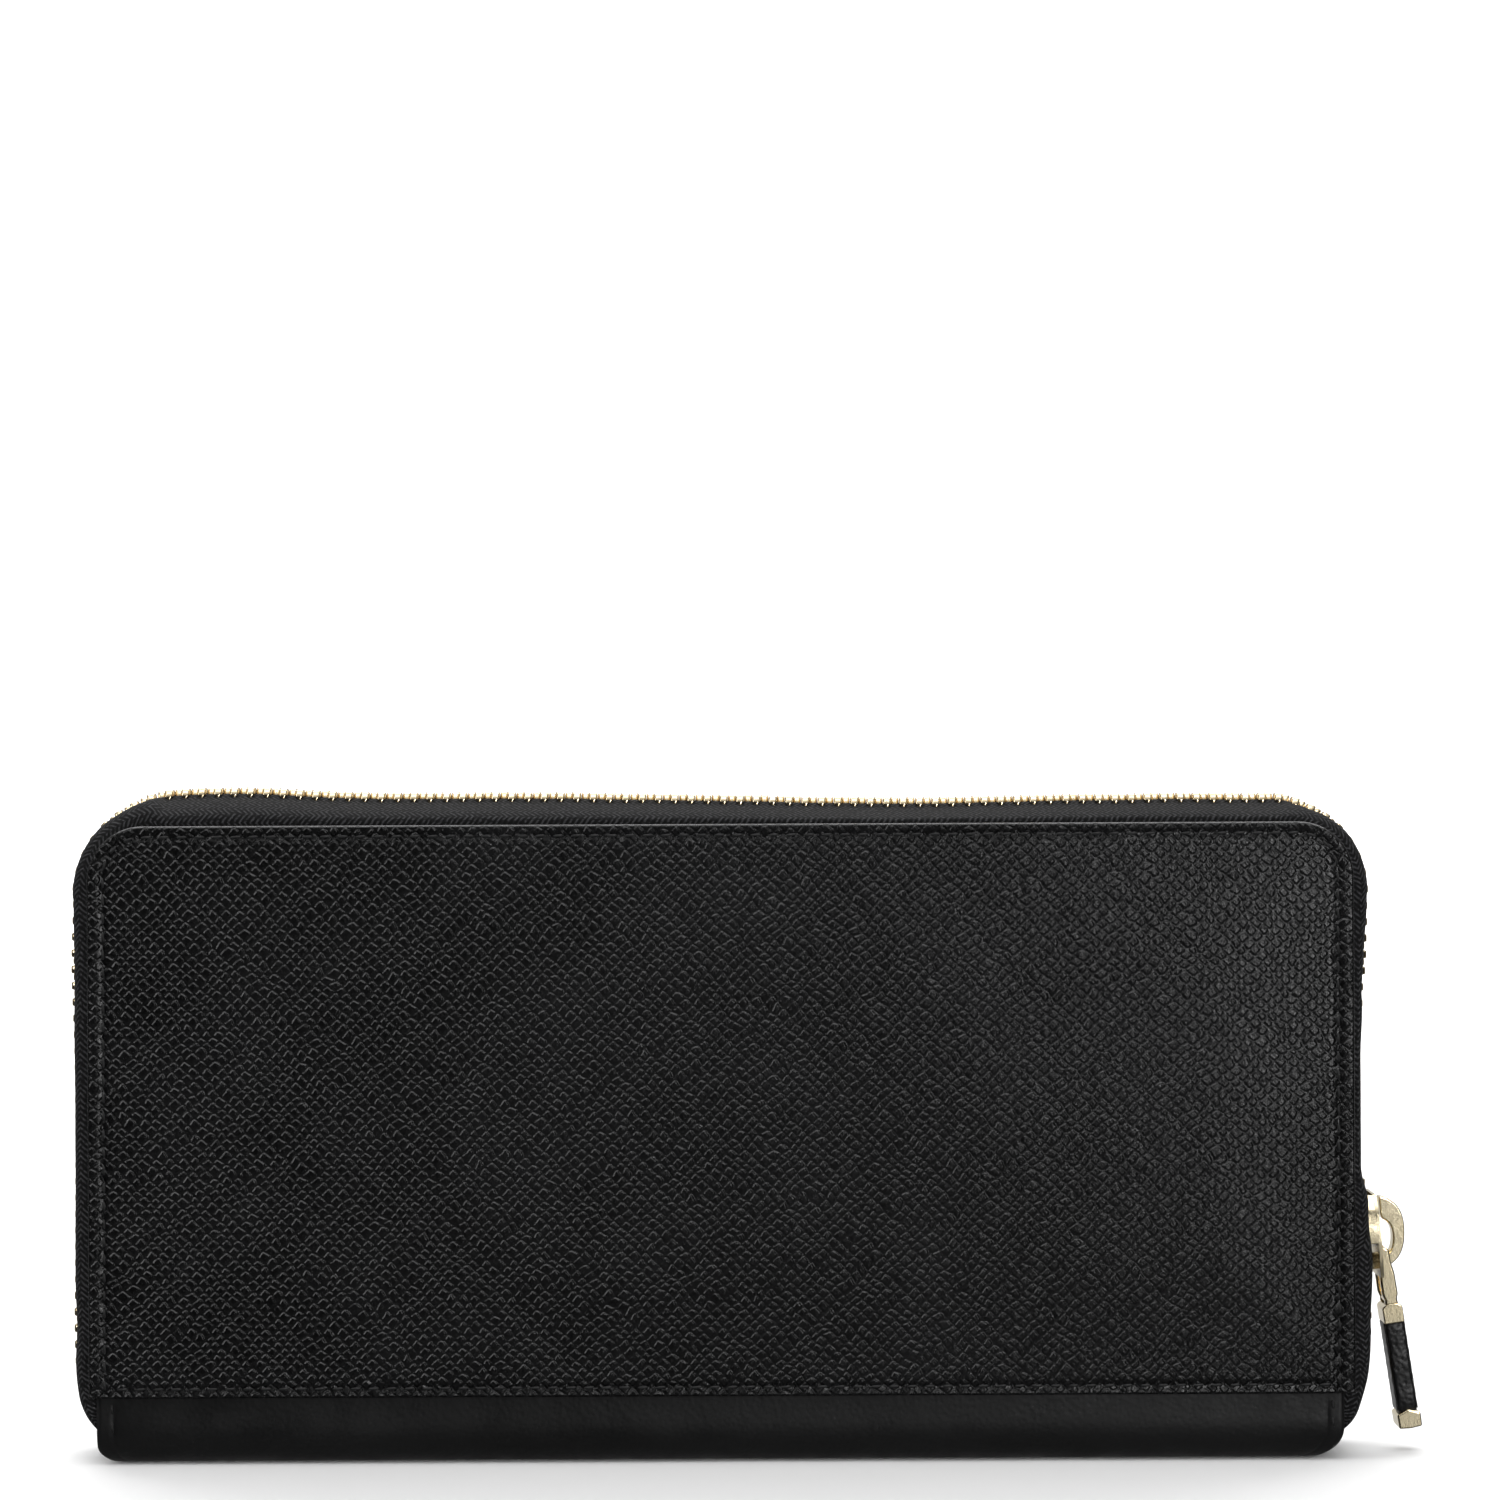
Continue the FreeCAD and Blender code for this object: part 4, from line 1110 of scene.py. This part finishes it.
PIVOT = joint_place("main_pull_swing")
COLLAR_TOP = -7.5
COLLAR_BOTTOM = -10.4
GRIP_BOTTOM = -23.3
CAP_BOTTOM = -26.1
ARM_INNER = 1.7
ARM_OUTER = 2.9


def on_pull(across, up, along):
    """A place drawn hanging straight down from the pivot, leant with the pull."""
    cosine, sine = math.cos(PULL_LEAN), math.sin(PULL_LEAN)
    return (PIVOT.x + across * cosine - up * sine, along, PIVOT.z + across * sine + up * cosine)


def on_pull_level(across, along, up):
    return on_pull(across, up, along)


def make_link():
    """Two arms from the pin through the hook down to the collar."""
    mesh = Mesh()
    widths = [(COLLAR_TOP - 0.2, 1.0), (-7.0, 0.9), (-6.1, 1.15), (-3.4, 1.12), (-1.3, 0.86), (0.0, 0.82)]
    heights = [(COLLAR_TOP - 0.2) * (1 - index / 21) for index in range(22)]
    right = [(eased(up, widths), up) for up in heights]
    right += [(0.82 * math.cos(a), 0.82 * math.sin(a)) for a in (math.pi / 16 * k for k in range(1, 8))]
    for hand in HANDS.values():
        add_prism(mesh, mirrored(right), hand * ARM_INNER, hand * ARM_OUTER, on_pull)
    make_metal(mesh, "pull_link_arms", "main_pull", ["pull_link"], 0.32, 4, 40)
    mesh = Mesh()
    pin = squircle(0, 0, 0.58, 0.58, 0, 348, 29, 2.0)
    add_prism(mesh, pin, -ARM_INNER - 0.2, ARM_INNER + 0.2, on_pull)
    yoke = rounded([(-0.85, -7.3), (0.85, -7.3), (0.85, -6.6), (-0.85, -6.6)], 0.25)
    add_prism(mesh, yoke, -ARM_OUTER + 0.15, ARM_OUTER - 0.15, on_pull)
    collar = [(-1.5, COLLAR_BOTTOM), (1.5, COLLAR_BOTTOM), (1.5, COLLAR_TOP - 0.75)]
    collar += [(1.5 * math.cos(a), COLLAR_TOP - 0.75 + 0.75 * math.sin(a))
               for a in (math.pi / 10 * k for k in range(1, 10))]
    collar += [(-1.5, COLLAR_TOP - 0.75)]
    add_prism(mesh, collar, -ARM_OUTER, ARM_OUTER, on_pull)
    make_metal(mesh, "pull_collar", "main_pull", (), 0.2, 3, 40)


def make_grip():
    """Leather folded round a metal core, pressed flat on its two broad sides."""
    mesh = Mesh()
    sections = []
    for index in range(31):
        share = index / 30
        up = COLLAR_BOTTOM + 0.15 + (GRIP_BOTTOM - COLLAR_BOTTOM - 0.45) * share
        end = min(share, 1 - share) * 30
        tight = 1 - 0.06 * (1 - smooth(end / 2.5)) + 0.012 * math.sin(share * 17)
        outline = squircle(0, 0, 1.5 * tight, 2.62 * tight, 0, 352.5, 47, 7.0)
        sections.append((up, [(x + 0.05 * math.sin(share * 9), y) for x, y in outline]))
    add_loft(mesh, sections, on_pull_level)
    mesh.make("pull_grip", GRIP_SKIN, "main_pull", "smooth_leather", ["pull_grip_leather", "pull_core"])
    paint = Mesh()
    for hand in HANDS.values():
        sections = []
        for index in range(25):
            up = COLLAR_BOTTOM + (GRIP_BOTTOM - COLLAR_BOTTOM) * index / 24
            wave = 0.02 * math.sin(index * 1.7)
            sections.append((up, squircle(hand * (1.42 + wave), 0, 0.17, 2.25 + wave, 0, 345, 23, 4.0)))
        add_loft(paint, sections, on_pull_level)
    paint.make("pull_grip_painted_edges", EDGE_PAINT, "main_pull", "smooth_leather")


def make_cap():
    """A solid end cap with a ridge along its top."""
    mesh = Mesh()
    shoulder = GRIP_BOTTOM - 0.6
    gable = [(-1.7, CAP_BOTTOM + 0.15), (0.0, CAP_BOTTOM), (1.7, CAP_BOTTOM + 0.15), (1.75, shoulder),
             (0.0, GRIP_BOTTOM + 0.1), (-1.75, shoulder)]
    add_prism(mesh, gable, -ARM_OUTER, ARM_OUTER, on_pull)
    make_metal(mesh, "pull_cap", "main_pull", ["pull_end_cap"], 0.28, 4, 10)


# Linings and card slots

def sheet_grid(low, high, radius, step):
    """Rows of (x, z) over a sheet whose top corners are rounded."""
    across = spaced(low.x, high.x, round((high.x - low.x) / step))
    up = spaced(low.z, high.z, round((high.z - low.z) / step))
    return [[into_corner(x, z, high.x - radius, high.z - radius) for x in across] for z in up]


def add_sheet(mesh, rows, depth, thickness, side, relief):
    """A sheet with two faces; relief raises the face that looks inwards."""
    faces = []
    for inward in (True, False):
        face = []
        for row in rows:
            ring = []
            for x, z in row:
                level = depth - thickness - relief(x, z) if inward else depth
                ring.append(mesh.point((x, side * level, z), (x, z)))
            face.append(ring)
        mesh.rows(face)
        faces.append(face)
    mesh.strip(border_of(faces[0]), border_of(faces[1]), closed=True)


def make_lining(half_name, side):
    """Cloth over the inside of a cover, a little slack between its edges."""
    node = f"{half_name}_lining"
    low, high, inner, outer = layer_box(node)

    def relief(x, z):
        edge = min(high.x - abs(x), high.z - z, z - low.z)
        return 0.1 * bump(edge, 1.2, 0.8) + 0.1 * smooth(edge / 5) * blotch((x, 0, z), 11, 6)

    mesh = Mesh()
    rows = sheet_grid(low, high, 9.0, 1.5)
    add_sheet(mesh, rows, outer, outer - inner - 0.1, side, relief)
    mesh.make(node + "_cloth", LINING_CLOTH, f"{half_name}_half", "lining_fabric", [node])


def make_card_slots(half_name, side):
    """Three stepped sheets, each with a turned top edge, a seam below it and a crease down the middle; only
    the third is sewn down the middle.
    """
    for number in (1, 2, 3):
        node = f"{half_name}_card_slot_{number}"
        low, high, inner, outer = layer_box(node)
        seams = [[(low.x + 3, high.z - 2.0), (high.x - 3, high.z - 2.0)]]
        if number == 3:
            seams.append([(0.0, low.z + 3), (0.0, high.z - 3)])

        def relief(x, z):
            top = high.z - z
            fold = 0.08 * (1 - smooth((top - 6.5) / 0.8)) - 0.16 * bump(top, 2.0, 0.45)
            middle = -0.14 * bump(x, 0, 0.7) * smooth((top - 2) / 3)
            return fold + middle + 0.07 * blotch((x, number * 9, z), 15, 9) - 0.12 * bump(top, 0, 0.35)

        mesh = Mesh()
        rows = sheet_grid(low, high, 0.0, 0.75)
        add_sheet(mesh, rows, outer, outer - inner - 0.1, side, relief)
        mesh.make(node + "_leather", POCKET_SKIN, f"{half_name}_half", "pocket_leather", [node])
        threads = Mesh()
        for line in seams:
            sew_pocket(threads, line, lambda x, z: inner + 0.1 - relief(x, z), side, -1)
        threads.make(node + "_stitches", THREAD, f"{half_name}_half", "pocket_leather")


# Coin pocket and gussets

def make_coin_pocket():
    for half_name, side in SIDES.items():
        node = f"coin_pocket_{half_name}_wall"
        low, high, inner, outer = layer_box(node)

        def relief(x, z):
            edge = min(high.x - abs(x), high.z - z)
            groove = -0.14 * bump(high.z - z, 2.2, 0.45)
            return groove + 0.12 * smooth(edge / 6) * blotch((x, side * 7, z), 17, 12)

        mesh = Mesh()
        rows = sheet_grid(low, high, 4.0, 0.9)
        add_sheet(mesh, rows, -inner, outer - inner, -side, relief)
        mesh.make(node + "_leather", POCKET_SKIN, "spine", "pocket_leather", [node])
        line = [(low.x + 4, high.z - 2.2), (high.x - 4, high.z - 2.2)]
        threads = Mesh()
        sew_pocket(threads, line, lambda x, z: outer + relief(x, z), side, 1)
        threads.make(node + "_stitches", THREAD, "spine", "pocket_leather")
    low, high = node_box("coin_pocket_base")
    mesh = Mesh()
    strip = rounded([(low.y, low.z), (high.y, low.z), (high.y, high.z), (low.y, high.z)], 0.3, 4)
    sections = []
    for x in spaced(low.x, high.x, 68):
        sag = 0.08 * blotch((x, 0, 0), 14, 21)
        sections.append((x, [(across, up + sag) for across, up in strip]))
    add_loft(mesh, sections, across_x)
    mesh.make("coin_pocket_floor", POCKET_SKIN, "spine", "pocket_leather", ["coin_pocket_base"])
    for hand_name in HANDS:
        low, high = node_box(f"coin_pocket_{hand_name}_seam")
        middle, half = (low.x + high.x) / 2, (high.x - low.x) / 2
        mesh = Mesh()
        sections = []
        for z in spaced(low.z, high.z, 40):
            sway = 0.06 * blotch((z, 0, 0), 9, 31)
            sections.append((z, squircle(middle + sway, 0, half * 1.1, high.y, 0, 345, 23, 3.5)))
        add_loft(mesh, sections, across_z)
        mesh.make(f"coin_pocket_{hand_name}_binding", POCKET_SKIN, "spine", "pocket_leather",
                  [f"coin_pocket_{hand_name}_seam"])


GUSSET_THICKNESS = 0.45


def make_gusset(half_name, side, hand_name, hand):
    """A soft fold from the coin pocket out to a cover, its two faces joined round the border and thinner at
    the top edge.
    """
    node = f"gusset_{half_name}_{hand_name}"
    low, high, shallow, deep = layer_box(node)
    near, far = sorted((abs(low.x), abs(high.x)))
    fold = (near + 0.3, (shallow + deep) / 2)
    ends = ((far - 0.3, shallow + 0.25), (far - 0.3, deep - 0.25))
    line = []
    for index in range(29):
        share = index / 28
        pull = 1 - abs(2 * share - 1)
        start = ends[0] if share < 0.5 else ends[1]
        bow = 0.35 * math.sin(math.pi * pull) * (1 if share < 0.5 else -1)
        depth = start[1] + (fold[1] - start[1]) * pull - bow
        line.append((start[0] + (fold[0] - start[0]) * math.sin(math.pi / 2 * pull) ** 0.9, depth))
    mesh = Mesh()
    rows = []
    for z in spaced(low.z, high.z, 30):
        top = smooth((high.z - z) / 1.2)
        row = []
        for number, (x, depth) in enumerate(line):
            sway = 0.22 * blotch((x, depth, z), 13, 17) * math.sin(math.pi * number / 28)
            row.append((hand * (x + sway), side * (depth + 0.12 * sway), z))
        thin = GUSSET_THICKNESS * (0.6 + 0.4 * top) / 2
        rows.append((row, thin))
    faces = []
    for sign in (-1, 1):
        face = []
        for row, thin in rows:
            ring = []
            for number, place in enumerate(row):
                before, after = row[max(0, number - 1)], row[min(28, number + 1)]
                along = Vector((after[0] - before[0], after[1] - before[1])).normalized()
                spot = (place[0] - along.y * thin * sign, place[1] + along.x * thin * sign, place[2])
                ring.append(mesh.point(spot))
            face.append(ring)
        mesh.rows(face)
        faces.append(face)
    mesh.strip(border_of(faces[0]), border_of(faces[1]), closed=True)
    piece = mesh.make(node + "_leather", GUSSET_SKIN, None, "gusset_leather", [node])
    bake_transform(piece)


# Coin zip

COIN_PITCH = 1.8
KEEL_TOP = 71.9
COIN_TOOTH = [(0.45, 0.0), (0.4, 0.22), (0.15, 0.38), (-0.3, 0.3), (-0.7, 0.42), (-1.7, 0.42), (-1.85, 0.2)]


def make_coin_zip():
    for half_name, side in SIDES.items():
        low, high, inner, outer = layer_box(f"coin_zip_{half_name}_tape")
        mesh = Mesh()
        rows = sheet_grid(low, high, 0.0, 1.0)
        add_sheet(mesh, rows, -inner, outer - inner, -side,
                  lambda x, z: 0.08 * blotch((x, 0, z), 8, 14) - 0.1 * bump(high.z - z, 0, 0.6))
        mesh.make(f"coin_{half_name}_tape", TAPE_CLOTH, "spine", "zip_tape", [f"coin_zip_{half_name}_tape"])
        low, high = node_box(f"coin_zip_{half_name}_teeth")
        middle, half = (low.z + high.z) / 2, (high.z - low.z) / 2
        mesh = Mesh()
        x = low.x + 0.5 + (COIN_PITCH / 2 if side > 0 else 0.0)
        while x < high.x - 0.3:
            rings = []
            for level, scale in ((-1.0, 0.7), (-0.75, 1.0), (0.6, 1.0), (0.88, 0.9), (1.0, 0.65)):
                ring = []
                for reach, wide in both_halves(COIN_TOOTH):
                    ring.append(mesh.point((x + wide * scale, -side * reach, middle + half * level)))
                rings.append(ring)
            mesh.tube(rings)
            x += COIN_PITCH
        mesh.make(f"coin_{half_name}_teeth", GOLD, "spine", "gold_metal", [f"coin_zip_{half_name}_teeth"])


def make_coin_stops():
    low, high = node_box("coin_zip_end_stops")
    middle, half = (low.z + high.z) / 2, (high.z - low.z) / 2
    mesh = Mesh()
    for x in (low.x + 0.75, high.x - 0.75):
        sections = []
        for along, scale in ((-1.0, 0.75), (-0.8, 1.0), (0.8, 1.0), (1.0, 0.75)):
            outline = squircle(0, middle, high.y * scale, half * scale, 0, 345, 23, 3.0)
            sections.append((x + 0.7 * along, outline))
        add_loft(mesh, sections, across_x)
    mesh.make("coin_stops", GOLD, "spine", "gold_metal", ["coin_zip_end_stops"])


def make_coin_slider():
    low, high = node_box("coin_slider_body")
    half = high.y
    plan = [(low.x, 1.7), (low.x + 1.6, 2.5), (low.x + 4.5, half), (high.x, half - 0.25)]
    outline = rounded([(x, wide) for x, wide in plan] + [(x, -wide) for x, wide in reversed(plan)], 0.5, 4)
    mesh = Mesh()
    add_prism(mesh, outline, high.z - 0.7, high.z, across_z)
    for hand in HANDS.values():
        wall = [(low.x + 1.8, 2.45), (low.x + 4.6, half - 0.05), (high.x - 0.1, half - 0.25)]
        inside = [(x, wide - 0.5) for x, wide in reversed(wall)]
        outline = rounded([(x, hand * wide) for x, wide in wall + inside], 0.15, 3)
        add_prism(mesh, outline, KEEL_TOP, high.z - 0.65, across_z)
    keel = rounded([(low.x, -1.3), (high.x, -1.3), (high.x, 1.3), (low.x, 1.3)], 0.4, 4)
    add_prism(mesh, keel, low.z, KEEL_TOP, across_z)
    add_prism(mesh, squircle(high.x - 1.3, 0, 0.7, 0.6, 0, 345, 23, 2.0), 71.8, high.z - 0.6, across_z)
    make_metal(mesh, "coin_slider_shell", "coin_slider", ["coin_slider_body"], 0.14)
    low, high = node_box("coin_slider_bridge")
    middle, reach = (low.x + high.x) / 2, (high.x - low.x) / 2
    outer = squircle(middle, low.z - 0.05, reach, high.z - low.z, 0, 180, 24, 3.2)
    inner = squircle(middle, low.z - 0.05, reach - 0.75, high.z - low.z - 0.75, 180, 0, 24, 3.2)
    mesh = Mesh()
    add_prism(mesh, outer + inner, -high.y, high.y, across_y)
    make_metal(mesh, "coin_slider_loop", "coin_slider", ["coin_slider_bridge"], 0.2, 3, 40)


def make_coin_tab():
    """A flat tab with an eye at one end, lying along the closed zip."""
    low, high = node_box("coin_pull_tab")
    middle = joint_place("coin_pull_swing")
    half = (high.y - low.y) / 2
    outer, inner = [], []
    count = 64
    for index in range(count):
        angle = 2 * math.pi * index / count
        inner.append((middle.x + 1.15 * math.cos(angle), 1.35 * math.sin(angle)))
        turn = math.cos(angle)
        length = (high.x - middle.x) if turn > 0 else (middle.x - low.x)
        narrow = 1.0 - 0.18 * smooth(turn * 0.5 + 0.5) - 0.1 * (1 - abs(turn))
        outer.append((middle.x + length * math.copysign(abs(turn) ** 0.8, turn),
                      half * narrow * math.copysign(abs(math.sin(angle)) ** 0.55, math.sin(angle))))
    mesh = Mesh()
    add_ring(mesh, outer, inner, low.z, high.z, across_z)
    make_metal(mesh, "coin_tab", "coin_pull", ["coin_pull_tab"], 0.25, 3, 40)


# Stage, light and camera

def area_light(name, place, target, size, power):
    """A lamp as wide and high as size, in metres, that faces its target."""
    light = bpy.data.lights.new(name, "AREA")
    light.shape = "RECTANGLE"
    light.size, light.size_y = size
    light.energy = power
    lamp = bpy.data.objects.new(name, light)
    lamp.location = place
    direction = Vector(target) - Vector(place)
    lamp.rotation_euler = direction.to_track_quat("-Z", "Y").to_euler()
    bpy.context.scene.collection.objects.link(lamp)


def make_cove():
    """A pale floor that rises all round into a low wall."""
    mesh = Mesh()
    rings = []
    profile = [(0.02, 0.0), (600.0, 0.0), (1500.0, 0.0)]
    profile += [(1500 + 600 * math.sin(a), 600 - 600 * math.cos(a))
                for a in (math.pi / 2 * k / 10 for k in range(1, 11))] + [(2100.0, 1500.0)]
    for radius, height in profile:
        rings.append([mesh.point((radius * math.cos(a), radius * math.sin(a), height))
                      for a in (2 * math.pi * k / 64 for k in range(64))])
    mesh.rows(rings, closed=True)
    mesh.faces.append(tuple(rings[0]))
    material, tree, place = new_material("studio_floor")
    grain = noise_of(tree, place, 3.0, 2.0)
    colour = blend_colours(tree, grain, (0.82, 0.82, 0.82, 1), (0.86, 0.86, 0.86, 1))
    looks = {"Base Color": colour, "Roughness": 0.9, "Specular IOR Level": 0.1}
    feed(tree, tree.nodes["Principled BSDF"], looks)
    floor = mesh.make("studio_floor", material)
    floor.visible_glossy = False


def make_world():
    """Dark in front like a studio, white behind the object, and soft light from overhead."""
    world = bpy.data.worlds.new("studio_sky")
    world.use_nodes = True
    bpy.context.scene.world = world
    tree = world.node_tree
    direction = add(tree, "ShaderNodeTexCoord").outputs["Generated"]
    parts = parts_of(tree, direction)
    level = remap(tree, calc(tree, "ABSOLUTE", parts["Z"]), 0.25, 0.5, 1.0, 0.0)
    overhead = times(tree, remap(tree, parts["Z"], 0.35, 0.95), 1.1)
    behind = times(tree, remap(tree, parts["Y"], 0.3, 0.85, 0.0, 0.55), level)
    forward = calc(tree, "MAXIMUM", times(tree, parts["Y"], -1.0), 0.05)
    slope = calc(tree, "DIVIDE", parts["X"], forward)
    card = times(tree, remap(tree, slope, 0.1, 0.2, 0.0, 0.75), remap(tree, slope, 0.5, 0.9, 1.0, 0.0))
    card = times(tree, card, level)
    light = calc(tree, "MAXIMUM", calc(tree, "MAXIMUM", overhead, behind), card)
    below = remap(tree, parts["Z"], -0.75, -0.3, 0.12, 0.0)
    light = plus(tree, light, plus(tree, below, 0.03))
    feed(tree, tree.nodes["Background"], {"Strength": light, "Color": (1.0, 1.0, 1.0, 1)})


SENSOR = 36.0
EYE = Vector((4.4, -612.0, 103.6))
VIEW_WIDTH = 221.6
ROLL = math.radians(0.25)


def make_camera():
    """Level view onto the back cover from in front of its middle."""
    camera = bpy.data.cameras.new("camera")
    camera.sensor_width = SENSOR
    camera.lens = SENSOR * -EYE.y / VIEW_WIDTH
    camera.clip_start = 0.01
    eye = bpy.data.objects.new("camera", camera)
    eye.location = EYE * MM
    eye.rotation_euler = (math.pi / 2, ROLL, 0)
    bpy.context.scene.collection.objects.link(eye)
    bpy.context.scene.camera = eye


bpy.context.scene.view_settings.view_transform = "Standard"
make_camera()
make_cove()
make_world()
area_light("top_softbox", (0.0, -0.3, 0.9), (0, 0, 0.05), (1.3, 0.4), 3.0)
area_light("far_softbox", (0.0, 0.5, 0.9), (0, 0.1, 0), (1.3, 0.5), 9.0)
area_light("right_softbox", (0.36, -0.85, 0.2), (0, 0, 0.06), (0.16, 0.4), 1.9)
area_light("left_softbox", (-0.95, -0.2, 0.4), (0, 0, 0.05), (0.3, 0.6), 2.0)
area_light("back_softbox", (0.0, 1.2, 0.9), (0, 2.0, 0.3), (2.2, 0.8), 26.0)

for half_name, side in SIDES.items():
    make_cover(half_name, side)
    make_tape(half_name, side)
    make_teeth(half_name, side)
    make_end_stops(half_name, side)
    make_lining(half_name, side)
    make_card_slots(half_name, side)
    for hand_name, hand in HANDS.items():
        make_gusset(half_name, side, hand_name, hand)
make_spine()
make_slider()
make_hook()
make_link()
make_grip()
make_cap()
make_coin_pocket()
make_coin_zip()
make_coin_stops()
make_coin_slider()
make_coin_tab()

for node in ("back_cover_board", "front_cover_board"):
    frame["nodes"][node].data.materials.clear()
    frame["nodes"][node].data.materials.append(BOARD)
